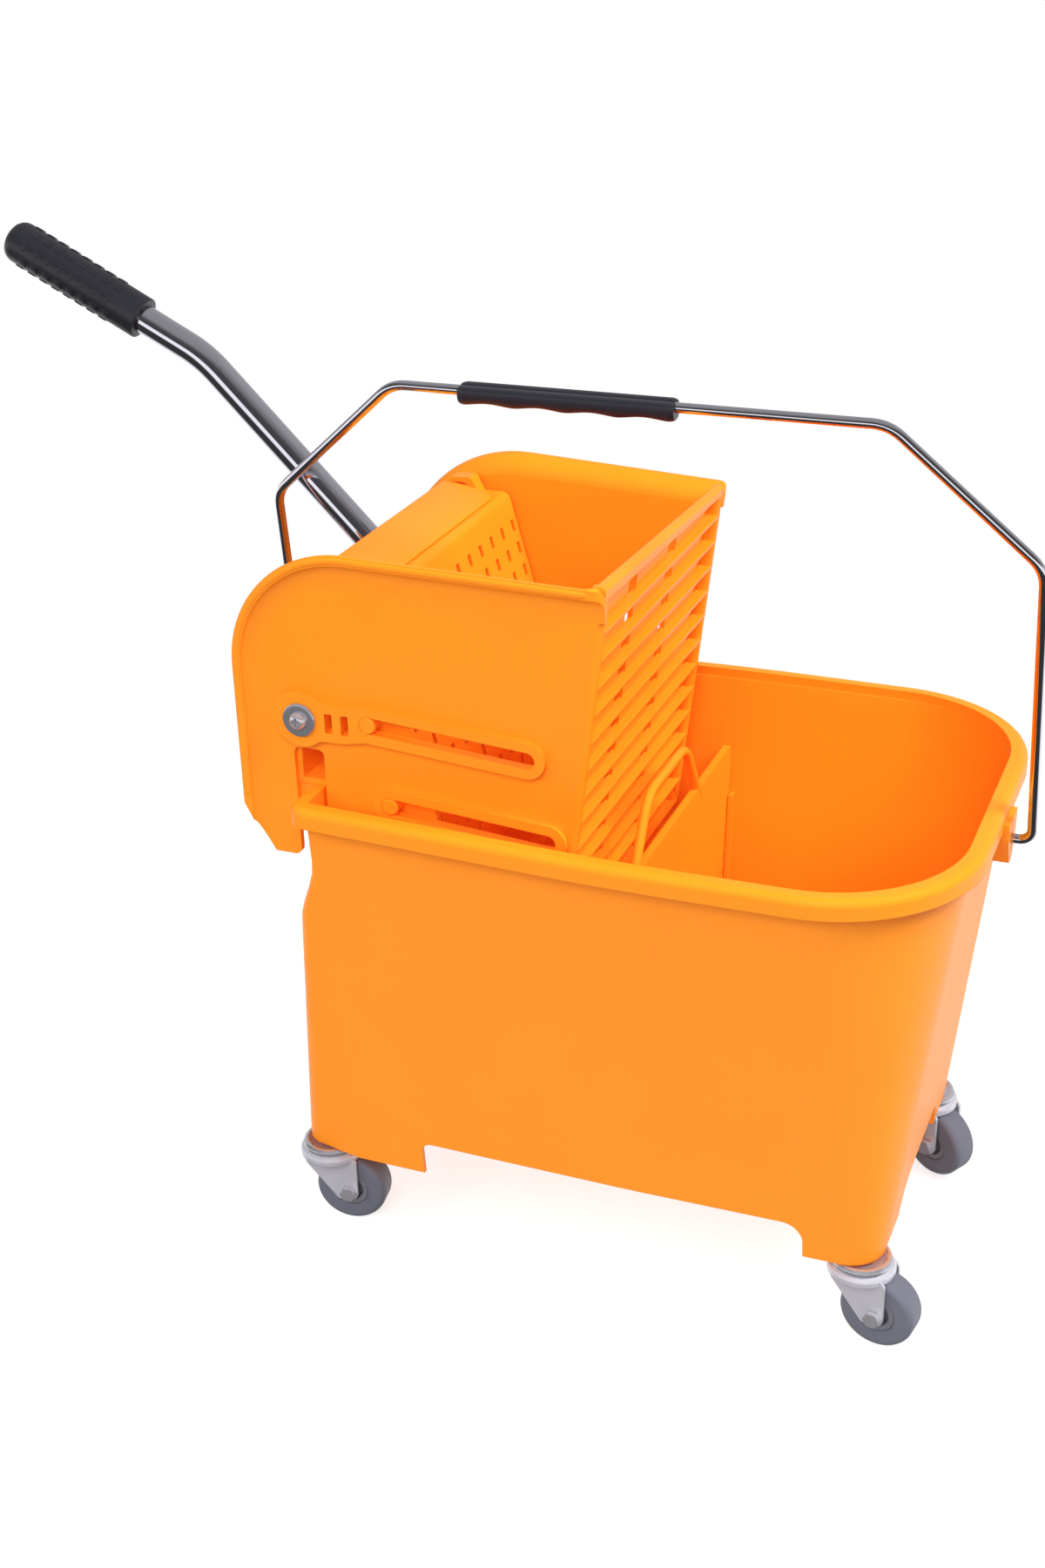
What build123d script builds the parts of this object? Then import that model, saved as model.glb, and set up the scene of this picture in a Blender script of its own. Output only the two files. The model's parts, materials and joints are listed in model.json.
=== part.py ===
from build123d import *
from math import ceil, cos, pi, radians, sin, sqrt, tan
import os

# Mop bucket with a lever wringer. Millimetres; X along the bucket with the wringer at -X, Y across it
# (near side at -Y), Z up from the floor, origin on the floor under the middle of the bucket.

# Bucket
rim_height = 342
rim_half_width = 162
rim_reach = 238
rim_corner = 89
wringer_end_reach = 178
wringer_end_corner = 5
base_half_width = 118
base_reach = 198
base_corner = 24
wringer_base_reach = 207
wringer_base_corner = 18
shoulder_reach = 187
shoulder_corner = 13
shoulder_drop = 98
shoulder_steps = 5
neck_drop = 42
side_draw = 11
far_draw = 2.5
crease_reach = 161
crease_draw = 1
widest_at = 32
side_bow = 1200
wall = 3
floor_thickness = 4
skirt_depth = 31
arch_height = 26
wringer_foot_length = 96
plain_foot_length = 48
end_arch_half = 54
lip_overhang = 8
lip_depth = 13
lip_round = 5
stem_boss = 11
boss_web = 60
ear_half = 14

# Casters
wheel_diameter = 50
tyre_width = 20
tyre_wall = 9
caster_trail = 14.5
caster_side_inset = 19
wringer_caster_inset = 17
plain_caster_inset = 13.5
caster_turn = {"wringer_near": 8, "wringer_far": -20, "plain_near": -9, "plain_far": -29}
crown_clearance = 4.5
crown_radius = 22
crown_drop = 6
fork_sheet = 2
fork_foot = 6.5
cup_radius = 20
cup_height = 4.4
cup_floor = 2.6
stem_radius = 4
stem_head = 9
stem_nut_flats = 13
stem_nut_height = 7
axle_radius = 3

# Wringer body
pivot_rise = 47
cheek_thickness = 4
cheek_back = 41
cheek_rise = 100
cheek_top_slope = 0.032
cheek_corner = 57
leg_drop = 50
leg_slant_run = 12
leg_slant_rise = 37
window_left = 7.5
window_right = 13
window_drop = 21
boss_height = 4
boss_radius = 18.5
slot_border = 6.5
slot_length = 104
slot_slope = 4.5
vent_start = 17
vent_width = 5
vent_height = 13
vent_pitch = 11
flare = 10
corner_post = 5
grille_lean = 7.2
grille_wall = 3
grille_rim = 6
first_fin = 22
fin_depth = 5.5
fin_thickness = 2.2
fin_pitch = 18
slat_columns = 3
drain_slot = 15
drain_bars = 5
drain_depth = 6

# Press
lever_throw = 40
cam_base = 94
cam_y = 52
cam_width = 12
pad_depth = 23
pad_half = 12
pinch_gap = 11.5
plate_sheet = 3
plate_rise = 80
plate_lean = 15.4
plate_bend_drop = 62
plate_front = 86
plate_return = 18
pin_radius = 5.5
hole_width = 4
hole_height = 11
hole_pitch = 26
hole_row_pitch = 21
spring_wire = 2
spring_coil = 5
spring_turns = 5
spring_post = 3

# Lever
lever_rise = 45.3
lever_bend = 18.3
lever_lower = 185
lever_upper = 150
tube_radius = 9.5
tube_wall = 1.5
lever_bend_radius = 80
grip_length = 107
grip_radius = 11.5
grip_cap = 5
hood_rise = 88
hood_sheet = 4
hood_margin = 17
rib_y = 72
socket_wall = 4
socket_length = 28
screw_radius = 4
screw_head = 5.5
washer_radius = 11
washer_thickness = 2
sleeve_nut_length = 12
bush_radius = 7
bush_length = 26
torque_radius = 14
bolt_flats = 10
bolt_head = 4
bolt_nut = 5

# Bail
bail_drop = 23.5
bail_lean = 8.5
bail_leg = 185
bail_leg_draw = 3.5
bail_rise = 265
bail_bar_half = 152
bail_end_reach = 15.5
bail_wringer_reach = 18
bail_stub = 24
wire_radius = 3.1
bail_grip_length = 135
bail_grip_width = 14
bail_grip_depth = 12
bail_grip_shift = 39
bail_grip_slit = 1.6
fingers = 4
finger_depth = 1.6

# Divider
divider_thickness = 5
divider_drop = 53
divider_offset = 24
divider_guide = 7
guide_drop = 37
loop_half = 70
loop_rise = 45
loop_bar = 3.2

# Fits
run = 0.05
gap = 0.3
swivel_gap = 0.4
slide_gap = 0.6


# Outlines
def bend(before, here, after, radius):
    """Start, middle and end of the arc that rounds a corner."""
    here = Vector(*here)
    back = (Vector(*before) - here).normalized()
    ahead = (Vector(*after) - here).normalized()
    half = radians(back.get_angle(ahead)) / 2
    inward = (back + ahead).normalized() if radius else Vector(0, 0)
    return (
        here + back * (radius / tan(half)),
        here + inward * (radius / sin(half) - radius),
        here + ahead * (radius / tan(half)),
    )


def edges_through(bends, first):
    edges = []
    last = first
    for start, middle, end in bends:
        if (start - last).length > 1e-4:
            edges.append(Edge.make_line(last, start))
        if (end - start).length > 1e-4:
            edges.append(Edge.make_three_point_arc(start, middle, end))
        last = end
    return edges


def rounded(corners):
    """Face in the XY plane with an outline through corners (x, y, radius)."""
    count = len(corners)
    bends = []
    for i, (x, y, radius) in enumerate(corners):
        bends.append(bend(corners[i - 1][:2], (x, y), corners[(i + 1) % count][:2], radius))
    return Face(Wire(edges_through(bends, bends[-1][2])))


def route(corners):
    """Open wire in the XY plane through corners (x, y, radius)."""
    first = Vector(*corners[0][:2])
    last = Vector(*corners[-1][:2])
    bends = []
    for i in range(1, len(corners) - 1):
        bends.append(bend(corners[i - 1][:2], corners[i][:2], corners[i + 1][:2], corners[i][2]))
    return Wire(edges_through(bends + [(last, last, last)], first))


def strip(corners, thickness):
    """Face of an even sheet that lies to the left of an open run of corners (x, y, radius)."""
    inner = []
    last = len(corners) - 1
    for i, (x, y, radius) in enumerate(corners):
        here = Vector(x, y)
        come = (here - Vector(*corners[i - 1][:2])).normalized() if i > 0 else None
        go = (Vector(*corners[i + 1][:2]) - here).normalized() if i < last else None
        come, go = come or go, go or come
        left_come = Vector(-come.Y, come.X)
        left_go = Vector(-go.Y, go.X)
        mitre = (left_come + left_go) / (1 + left_come.dot(left_go))
        turns_left = come.cross(go).Z > 0
        inner_radius = radius - thickness if turns_left else radius + thickness
        shifted = here + mitre * thickness
        inner.append((shifted.X, shifted.Y, max(inner_radius, 0) if radius else 0))
    return rounded(list(corners) + inner[::-1])


def stadium(start, end, half):
    """Face of a round-ended slot between two centres."""
    way = (Vector(*end) - Vector(*start)).normalized() * half
    side = Vector(-way.Y, way.X)
    first = Vector(*start) - way
    last = Vector(*end) + way
    points = [first + side, first - side, last - side, last + side]
    return rounded([(p.X, p.Y, half) for p in points])


def both_sides(corners):
    """Corners of one side, followed by their mirror image across the second axis."""
    return corners + [(-x, y, radius) for x, y, radius in corners[::-1]]


def disc(radius):
    return Face(Wire(Edge.make_circle(radius)))


# Solids
def across(face, y0, y1):
    """Solid from a face drawn in X and Z, between two Y values."""
    return Pos(0, y1, 0) * Rot(90, 0, 0) * extrude(face, y1 - y0, dir=(0, 0, 1))


def along(face, x0, x1):
    """Solid from a face drawn in Y and Z, between two X values."""
    return Pos(x0, 0, 0) * Plane.YZ.location * extrude(face, x1 - x0, dir=(0, 0, 1))


def block(x0, x1, y0, y1, z0, z1):
    return Pos((x0 + x1) / 2, (y0 + y1) / 2, (z0 + z1) / 2) * Box(x1 - x0, y1 - y0, z1 - z0)


def rod_y(x, z, radius, y0, y1):
    return Pos(x, (y0 + y1) / 2, z) * Rot(90, 0, 0) * Cylinder(radius, y1 - y0)


def rod_x(y, z, radius, x0, x1):
    return Pos((x0 + x1) / 2, y, z) * Rot(0, 90, 0) * Cylinder(radius, x1 - x0)


def rod_z(x, y, radius, z0, z1):
    return Pos(x, y, (z0 + z1) / 2) * Cylinder(radius, z1 - z0)


def hexagon(flats, height):
    return extrude(RegularPolygon(flats / 2, 6, major_radius=False), height)


def spun(corners):
    """Solid of revolution about Z from corners (radius, z, rounding)."""
    return revolve(Plane.XZ.location * rounded(corners), Axis.Z)


def far_and_near(solid):
    return solid + mirror(solid, about=Plane.XZ)


def mix(a, b, share):
    return a + (b - a) * share


# Shared places: casters and bucket
axle_z = wheel_diameter / 2
crown_under = wheel_diameter + crown_clearance
fork_top = crown_under + fork_sheet
cup_low = fork_top + swivel_gap
cup_top = cup_low + cup_height
nut_seat = cup_low + cup_floor
boss_foot = nut_seat + stem_nut_height
foot_z = cup_top + 0.7
floor_under = foot_z + skirt_depth
floor_top = floor_under + floor_thickness
stem_top = floor_under - 4
neck_reach = wringer_end_reach - lip_overhang
neck_z = rim_height - neck_drop
shoulder_z = rim_height - shoulder_drop
caster_y = base_half_width - caster_side_inset
caster_places = {
    "wringer_near": (wringer_caster_inset - wringer_base_reach, -caster_y),
    "wringer_far": (wringer_caster_inset - wringer_base_reach, caster_y),
    "plain_near": (base_reach - plain_caster_inset, -caster_y),
    "plain_far": (base_reach - plain_caster_inset, caster_y),
}

# Shared places: wringer, from its pivot
pivot_x = -wringer_end_reach
pivot_z = rim_height + pivot_rise
slope = radians(slot_slope)
travel = (cos(slope), -sin(slope))
upright = (sin(slope), cos(slope))
press_travel = cam_base * radians(lever_throw)
plate_back = plate_front - plate_sheet
pad_face = plate_back - pad_depth
roll_rest = (pad_face - gap + cam_base * sin(slope)) / cos(slope) / cam_base
roll_end = roll_rest + radians(lever_throw)


def cam_point(roll):
    """Point of the involute cam edge at rest, from the pivot, by how far it has rolled."""
    turn = roll_rest - roll - slope
    reach = cam_base * roll
    return (reach * cos(turn) + cam_base * sin(turn), reach * sin(turn) - cam_base * cos(turn))


contact_z = cam_point(roll_rest)[1]
cam_tip = cam_point(roll_end)
plate_foot = contact_z - pad_half - 10
wringer_floor = pivot_z + cam_tip[1] - 15
wringer_top = pivot_z + cheek_rise
cheek_left = pivot_x - cheek_back
leg_foot = rim_height - leg_drop
plate_top_front = plate_front - (plate_rise + plate_bend_drop) * tan(radians(plate_lean))
upper_pin = (pad_face - 14, 2)
lower_pin = (pad_face - 1.5, -51)
fixed_post = (24, pivot_rise - 82)
moving_post = (pad_face - 1, plate_foot + 8)
grille_depth = fin_depth + grille_wall
grille_foot = pivot_x + plate_front + press_travel + pinch_gap + grille_depth


def half_width(z):
    share = (z - foot_z) / (rim_height - foot_z)
    return mix(base_half_width, rim_half_width - lip_overhang, share)


def grille_x(z):
    """Outer face of the grille at a height."""
    return grille_foot + (z - pivot_z - plate_foot) * tan(radians(grille_lean))


cheek_y = half_width(wringer_floor) - side_draw - wall - 5.5
cheek_in = cheek_y - cheek_thickness
boss_y = cheek_y + boss_height
plate_half = cheek_in - 3
spring_y = plate_half - 15
bush_in = boss_y - bush_length

# Shared places: lever, bail and divider
socket_way = Vector(-cos(radians(lever_rise)), sin(radians(lever_rise)))
socket_start = (13, hood_rise - 31)
bolt_at = (socket_start[0] + socket_way.X * 13, socket_start[1] + socket_way.Y * 13)
socket_outer = tube_radius + socket_wall
bolt_seat = socket_outer + 2
bail_z = rim_height - bail_drop
bail_far_x = rim_reach + bail_end_reach
bail_near_x = cheek_left - bail_wringer_reach
bail_mid = (bail_far_x + bail_near_x) / 2
bail_half = (bail_far_x - bail_near_x) / 2
divider_top = rim_height - divider_drop
divider_x = grille_x(divider_top) + divider_offset


def from_pivot(points):
    """Corners given from the lever pivot, as corners in X and Z."""
    return [(pivot_x + p[0], pivot_z + p[1], p[2] if len(p) > 2 else 0) for p in points]


# Bucket
def wringer_end(z):
    """Reach and corner radius of the wringer-end wall: an even slope up to a soft shoulder."""
    if z < shoulder_z:
        part = (z - foot_z) / (shoulder_z - foot_z)
        reach = mix(wringer_base_reach, shoulder_reach, part)
        return reach, mix(wringer_base_corner, shoulder_corner, part)
    part = min((z - shoulder_z) / (neck_z - shoulder_z), 1)
    eased = part * part * (3 - 2 * part)
    return mix(shoulder_reach, neck_reach, eased), mix(shoulder_corner, wringer_end_corner, part)


def plain_end(z):
    """Reach of the plain-end wall at a height."""
    return mix(base_reach, rim_reach - lip_overhang, (z - foot_z) / (rim_height - foot_z))


def plan(z, inset):
    """Outline of the bucket at a height, drawn in by an inset, as a face at that height."""
    share = (z - foot_z) / (rim_height - foot_z)
    left, left_corner = wringer_end(z)
    right_corner = mix(base_corner, rim_corner, share)
    middle = half_width(z) - inset
    straight = side_draw * (widest_at + crease_reach) / (widest_at + left - inset)
    near = [
        (inset - left, side_draw - middle, left_corner - inset),
        (-crease_reach, mix(crease_draw, straight, share) - middle, 0),
        (widest_at, -middle, side_bow),
        (plain_end(z) - inset, far_draw - middle, right_corner - inset),
    ]
    far = [(x, -y, radius) for x, y, radius in near[::-1]]
    return Pos(0, 0, z) * rounded(near + far)


def bucket_forms():
    """Outer form of the bucket, the space inside it and the space under its floor."""
    rise = [mix(shoulder_z, neck_z, i / shoulder_steps) for i in range(shoulder_steps + 1)]
    outside = loft([plan(z, 0) for z in [foot_z] + rise + [rim_height - lip_depth / 2]], ruled=True)
    inside = loft([plan(z, wall) for z in [floor_top] + rise + [rim_height]], ruled=True)
    under = loft([plan(z, wall) for z in (foot_z - 1, floor_under)], ruled=True)
    return outside, inside, under


def bucket_lip():
    lip_foot = rim_height - lip_depth

    def ring(outer, inner, z0, z1):
        faces = [Pos(0, 0, z0 - rim_height) * plan(rim_height, inset) for inset in (outer, inner)]
        return extrude(faces[0], z1 - z0) - extrude(faces[1], z1 - z0)

    lip = ring(-lip_overhang, wall, lip_foot, rim_height)
    edges = lip.faces().sort_by(Axis.Z)[-1].outer_wire().edges()
    lip = fillet(edges, lip_round)
    return lip - ring(wall - lip_overhang, 0, lip_foot - 1, rim_height - wall)


def bucket_cuts():
    """Arches that leave a foot at each corner of the skirt."""
    low = foot_z - 20
    high = foot_z + arch_height
    side = rounded([
        (wringer_foot_length - wringer_base_reach, low, 0),
        (base_reach - plain_foot_length, low, 0),
        (base_reach - plain_foot_length, high, 14),
        (wringer_foot_length - wringer_base_reach, high, 7),
    ])
    end = rounded(both_sides([(-end_arch_half, high, 24), (-end_arch_half, low, 0)]))
    over = rim_half_width + 10
    reach = rim_reach + 20
    return [across(side, -over, over), along(end, -reach, reach)]


def caster_bosses(outside):
    """Bosses and webs under the floor that take the caster stems, and the stem holes."""
    solids = []
    holes = []
    for x, y in caster_places.values():
        solids.append(rod_z(x, y, stem_boss, boss_foot, floor_under + 1))
        web = block(x - boss_web / 2, x + boss_web / 2, y - 2, y + 2, boss_foot + 2, floor_under + 1)
        solids.append(web & outside)
        holes.append(rod_z(x, y, stem_radius, foot_z - 1, stem_top + 1))
    return solids, holes


def bail_ears():
    """Ear under the lip at the plain end, the longer one at the wringer end, and their holes."""
    under_lip = rim_height - lip_depth + 4
    far_side = [(-ear_half, under_lip, 0), (-ear_half, bail_z + 2, 8), (-5, bail_z - ear_half - 2, 5)]
    far_wall = plain_end(bail_z)
    far = along(rounded(both_sides(far_side)), far_wall - wall, bail_far_x - bail_stub / 2)
    root = -neck_reach + wall
    tip = bail_near_x + bail_stub / 3
    near = across(
        rounded([
            (root, bail_z + 12, 0),
            (tip, bail_z + 12, 5),
            (tip, bail_z - 12, 8),
            (-shoulder_reach - 5, shoulder_z + 8, 6),
            (root, shoulder_z + 8, 0),
        ]),
        -ear_half,
        ear_half,
    )
    hole = wire_radius + run
    holes = [
        rod_x(0, bail_z, hole, bail_far_x - bail_stub - 1, bail_far_x),
        rod_x(0, bail_z, hole, bail_near_x, bail_near_x + bail_stub + 1),
    ]
    return [far, near], holes


def divider_guides(outside):
    """Pairs of ribs on the side walls that the divider slides between."""
    guide_top = divider_top - guide_drop
    low = half_width(floor_top) - wall - divider_guide
    high = half_width(guide_top) - wall - divider_guide
    opening = rounded(both_sides([(-high, guide_top + 1, 0), (-low, floor_top - 1, 0)]))
    over = rim_half_width
    ribs = []
    for side in (-1, 1):
        near_face = divider_x + side * (divider_thickness / 2 + slide_gap)
        x0, x1 = sorted((near_face, near_face + side * wall))
        rib = block(x0, x1, -over, over, floor_top - 1, guide_top) - along(opening, x0, x1)
        ribs.append(rib & outside)
    return ribs


def make_bucket():
    outside, inside, under = bucket_forms()
    ears, ear_holes = bail_ears()
    bosses, stem_holes = caster_bosses(outside)
    shell = outside + ears - inside - under - bucket_cuts()
    shell = shell + [bucket_lip()] + bosses + divider_guides(outside)
    return shell - stem_holes - ear_holes


# Wringer body
def cheek():
    """Far cheek of the wringer, with its flared edge, slots, pivot boss and hanging leg."""
    top_left = wringer_top + cheek_top_slope * (grille_x(wringer_top) - cheek_left)
    inset = flare + cheek_thickness - 1
    panel_top = wringer_top - inset
    panel = rounded([
        (cheek_left + inset, top_left - inset, cheek_corner - inset),
        (grille_x(panel_top) - corner_post, panel_top, 0),
        (grille_x(wringer_floor) - corner_post, wringer_floor, 0),
        (pivot_x + window_right, wringer_floor, 12),
        (pivot_x + window_right, pivot_z - window_drop, 4),
        (pivot_x - window_left, pivot_z - window_drop, 4),
        (pivot_x - window_left, leg_foot, 5),
        (cheek_left + inset, leg_foot, 0),
    ])
    body = across(panel, cheek_in, cheek_y) + cheek_flare(top_left)
    return body - flare_trims() + cheek_raised()


def cheek_flare(top_left):
    """Quarter-round flare swept along the wringer end and the top of a cheek."""
    path = Plane.XZ.location * route([
        (cheek_left, leg_foot, 0),
        (cheek_left, top_left, cheek_corner),
        (grille_x(wringer_top), wringer_top, 0),
    ])
    outer = flare + cheek_thickness
    diagonal = sqrt(0.5)
    curve = Face(Wire([
        Edge.make_line((outer, 0), (outer, -cheek_thickness)),
        Edge.make_three_point_arc(
            (outer, -cheek_thickness),
            (outer - outer * diagonal, flare - outer * diagonal),
            (0, flare),
        ),
        Edge.make_line((0, flare), (cheek_thickness, flare)),
        Edge.make_three_point_arc(
            (cheek_thickness, flare),
            (outer - flare * diagonal, flare - flare * diagonal),
            (outer, 0),
        ),
    ]))
    start = Plane(origin=(cheek_left, 0, leg_foot), x_dir=(1, 0, 0), z_dir=(0, 0, 1))
    return Pos(0, cheek_y, 0) * sweep(start.location * curve, path=path)


def flare_trims():
    """Slanted foot of the flare beside the leg, and its rounded end over the grille."""
    foot = rounded([
        (cheek_left - 1, leg_foot - 1, 0),
        (cheek_left + leg_slant_run, leg_foot - 1, 0),
        (cheek_left - 1, leg_foot + leg_slant_rise, 0),
    ])
    tip_x = grille_x(wringer_top)
    low = wringer_top - 2 * flare
    high = wringer_top + flare
    tip = block(tip_x - flare, tip_x + 1, cheek_y, cheek_y + flare + 1, low, high)
    tip -= rod_z(tip_x - flare, cheek_y, flare, low, high)
    return [across(foot, cheek_in - 1, boss_y + flare), tip]


def slot_ends(pin):
    end = (pin[0] + travel[0] * slot_length, pin[1] + travel[1] * slot_length)
    return [(pivot_x + p[0], pivot_z + p[1]) for p in (pin, end)]


def cheek_raised():
    """Raised borders of the two slots and of the pivot, with the waisted band between them."""
    border = pin_radius + slot_border
    solids = []
    for pin in (upper_pin, lower_pin):
        start, end = slot_ends(pin)
        solids.append(across(stadium(start, end, border), cheek_y - 1, boss_y))
    solids.append(rod_y(pivot_x, pivot_z, boss_radius, cheek_y - 1, boss_y))
    waist = vent_height / 2 + slot_border
    band = rounded(from_pivot([
        (0, -boss_radius + 1),
        (14, -waist, 14),
        (vent_start + vent_pitch, -waist, 24),
        (upper_pin[0], upper_pin[1] - border + 0.5),
        (upper_pin[0], upper_pin[1] + border - 0.5),
        (vent_start + vent_pitch, waist - 1, 24),
        (14, waist, 14),
        (0, boss_radius - 1),
    ]))
    solids.append(across(band, cheek_y - 1, boss_y))
    return solids


def cheek_holes():
    """Everything cut through one cheek: slots, pivot bore and the two small vents."""
    holes = []
    for pin in (upper_pin, lower_pin):
        start, end = slot_ends(pin)
        holes.append(across(stadium(start, end, pin_radius + run), cheek_in - 1, boss_y + 1))
    holes.append(rod_y(pivot_x, pivot_z, bush_radius, cheek_in - 1, boss_y + 1))
    for i in range(2):
        x = pivot_x + vent_start + vent_pitch * i
        low = pivot_z - vent_height / 2 - 0.5
        holes.append(block(x, x + vent_width, cheek_in - 1, boss_y + 1, low, low + vent_height))
    return holes


def grille():
    """Drain grille, made upright with its outer top edge at the origin, then leaned into place."""
    height = (wringer_top - wringer_floor) / cos(radians(grille_lean))
    half = cheek_in + 0.2
    back = -grille_depth
    column = 2 * half / slat_columns
    slots = []
    for i in range(slat_columns):
        slot_end = -half + column * (i + 1) - 5
        slots.append(block(back - 1, back + grille_wall + 1, slot_end - drain_slot, slot_end,
                           12 - height, -grille_rim - 2))
    solids = [block(back, back + grille_wall, -half, half, -height, -1) - slots]
    for i in range(int((height - first_fin - 8) / fin_pitch) + 1):
        z = -first_fin - fin_pitch * i
        solids.append(block(back + 1, 0, -half, half, z - fin_thickness, z))
    for y in (corner_post - cheek_y, cheek_y - corner_post):
        solids.append(rod_z(-corner_post, y, corner_post, -height, -1))
    rim = rounded([(back, -grille_rim, 1), (0, -grille_rim, 1), (0, 0, 2.5), (back, 0, 2.5)])
    solids.append(across(rim, -cheek_y + 1, cheek_y - 1))
    place = Pos(grille_x(wringer_top), 0, wringer_top) * Rot(0, grille_lean, 0)
    return [place * solid for solid in solids]


def wringer_rails():
    """Rear rail that rests on the rim, the low cross bar and the drain floor."""
    half = cheek_in + 0.5
    rear = -wringer_end_reach - 9
    front = pivot_x + window_right
    bars = [
        block(rear, front + 4, -half, half, rim_height, rim_height + cheek_thickness),
        block(rear, rear + 5, -half, half, rim_height, pivot_z - window_drop + 6),
        block(front, front + 8, -half, half, wringer_floor, wringer_floor + 8),
    ]
    drain_top = wringer_floor + drain_depth
    floor_start = pivot_x + plate_front - 13
    inner_foot = grille_x(wringer_floor) - grille_depth + 2
    for x in (floor_start, (floor_start + inner_foot) / 2):
        bars.append(block(x - 3, x + 3, -half, half, wringer_floor, drain_top))
    for i in range(1, drain_bars + 1):
        y = -half + 2 * half * i / (drain_bars + 1)
        bars.append(block(floor_start, inner_foot, y - 2.5, y + 2.5, wringer_floor, drain_top))
    return bars


def spring_peg(post, y1):
    """Round peg that holds one end of a return spring."""
    return rod_y(pivot_x + post[0], pivot_z + post[1], spring_post, spring_y - 8, y1)


def make_wringer():
    sides = far_and_near((cheek() + spring_peg(fixed_post, cheek_in + 1)) - cheek_holes())
    return sides + grille() + wringer_rails()


# Press
def press_holes():
    """Staggered rows of drain holes through the press plate."""
    holes = []
    slope_length = (plate_rise + plate_bend_drop) / cos(radians(plate_lean))
    rows = int((slope_length - 20) / hole_row_pitch) + 1
    for row in range(rows):
        down = 16 + hole_row_pitch * row
        x = pivot_x + plate_top_front + down * sin(radians(plate_lean))
        z = pivot_z + plate_rise - down * cos(radians(plate_lean))
        holes += hole_row(x, z, plate_lean, row % 2)
    low_rows = int((-plate_bend_drop - plate_foot - 18) / hole_row_pitch) + 1
    for row in range(low_rows):
        z = pivot_z - plate_bend_drop - 16 - hole_row_pitch * row
        holes += hole_row(pivot_x + plate_front, z, 0, (rows + row) % 2)
    return holes


def hole_row(x, z, lean, shift):
    count = int((2 * plate_half - 24) / hole_pitch) + 1 - shift
    start = -hole_pitch * (count - 1) / 2
    row = []
    for i in range(count):
        y = start + hole_pitch * i
        row.append(Pos(x, y, z) * Rot(0, -lean, 0) * Box(14, hole_width, hole_height))
    return row


def press_sheet():
    """Bent front sheet of the press, with its turned top and foot."""
    bent = strip(
        from_pivot([
            (plate_front - 16, plate_foot),
            (plate_front, plate_foot, 4),
            (plate_front, -plate_bend_drop, 25),
            (plate_top_front, plate_rise, 5),
            (plate_top_front - plate_return, plate_rise),
        ]),
        plate_sheet,
    )
    return across(bent, -plate_half, plate_half) - press_holes()


def press_side():
    """Far side of the press: the flange that carries the pins, the lifting lug and the cam pad."""
    inside = plate_front - plate_sheet / 2
    flange = across(
        rounded(from_pivot([
            (plate_top_front - 1, plate_rise),
            (plate_top_front - plate_return, plate_rise),
            (upper_pin[0] - 13, -5, 15),
            (lower_pin[0] - 11, -60, 15),
            (moving_post[0] - 8, plate_foot, 5),
            (inside, plate_foot),
            (inside, -plate_bend_drop),
        ])),
        plate_half - plate_sheet,
        plate_half,
    )
    lug = across(
        rounded(from_pivot([
            (plate_top_front - 35, plate_rise - 2, 1),
            (plate_top_front - 35, plate_rise + 10, 6),
            (plate_top_front - 23, plate_rise + 15, 5),
            (plate_top_front - 14, plate_rise + 15, 4),
            (plate_top_front - 6, plate_rise - 2),
        ])),
        plate_half - 13,
        plate_half - 1.5,
    )
    pad = across(
        rounded(from_pivot([
            (pad_face + pad_half * upright[0], contact_z + pad_half * upright[1], 1),
            (pad_face - pad_half * upright[0], contact_z - pad_half * upright[1], 1),
            (inside, contact_z - pad_half - 4),
            (inside, contact_z + pad_half + 4),
        ])),
        cam_y - 2,
        cam_y + cam_width + 2,
    )
    bores = []
    for x, z in (upper_pin, lower_pin):
        bores.append(rod_y(pivot_x + x, pivot_z + z, pin_radius, plate_half - 2 * plate_sheet, plate_half + 1))
    return (flange - bores) + [lug, pad, spring_peg(moving_post, plate_half - 1)]


def make_press_plate():
    return press_sheet() + far_and_near(press_side())


def make_guide_pins():
    pins = []
    for x, z in (upper_pin, lower_pin):
        pin = rod_y(pivot_x + x, pivot_z + z, pin_radius, plate_half - plate_sheet, boss_y + 0.6)
        pins.append(chamfer(pin.faces().sort_by(Axis.Y)[-1].edges(), 0.8))
    return far_and_near(pins[0] + pins[1])


# Lever
def tube_plane():
    """Plane across the lever tube at its lower end, looking up the tube."""
    return Plane(
        origin=(pivot_x + socket_start[0], 0, pivot_z + socket_start[1]),
        x_dir=(0, 1, 0),
        z_dir=(socket_way.X, 0, socket_way.Y),
    )


def bolt_rod(radius, y0, y1):
    return rod_y(pivot_x + bolt_at[0], pivot_z + bolt_at[1], radius, y0, y1)


def cam_arm():
    """One arm whose front edge is an involute, so the press moves evenly with the lever."""
    rolls = [mix(0.4 * roll_rest, roll_end, i / 8) for i in range(9)]
    edge = [cam_point(roll) for roll in rolls]
    corners = [edge[-1], (22, edge[-1][1] + 4), (22, -20), (-4, -6), (4, 12), (40, -20), edge[0]]
    lines = [Edge.make_line(a, b) for a, b in zip(corners, corners[1:])]
    face = Face(Wire([Edge.make_spline([Vector(*p) for p in edge])] + lines))
    return across(Pos(pivot_x, pivot_z) * face, cam_y, cam_y + cam_width)


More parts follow.
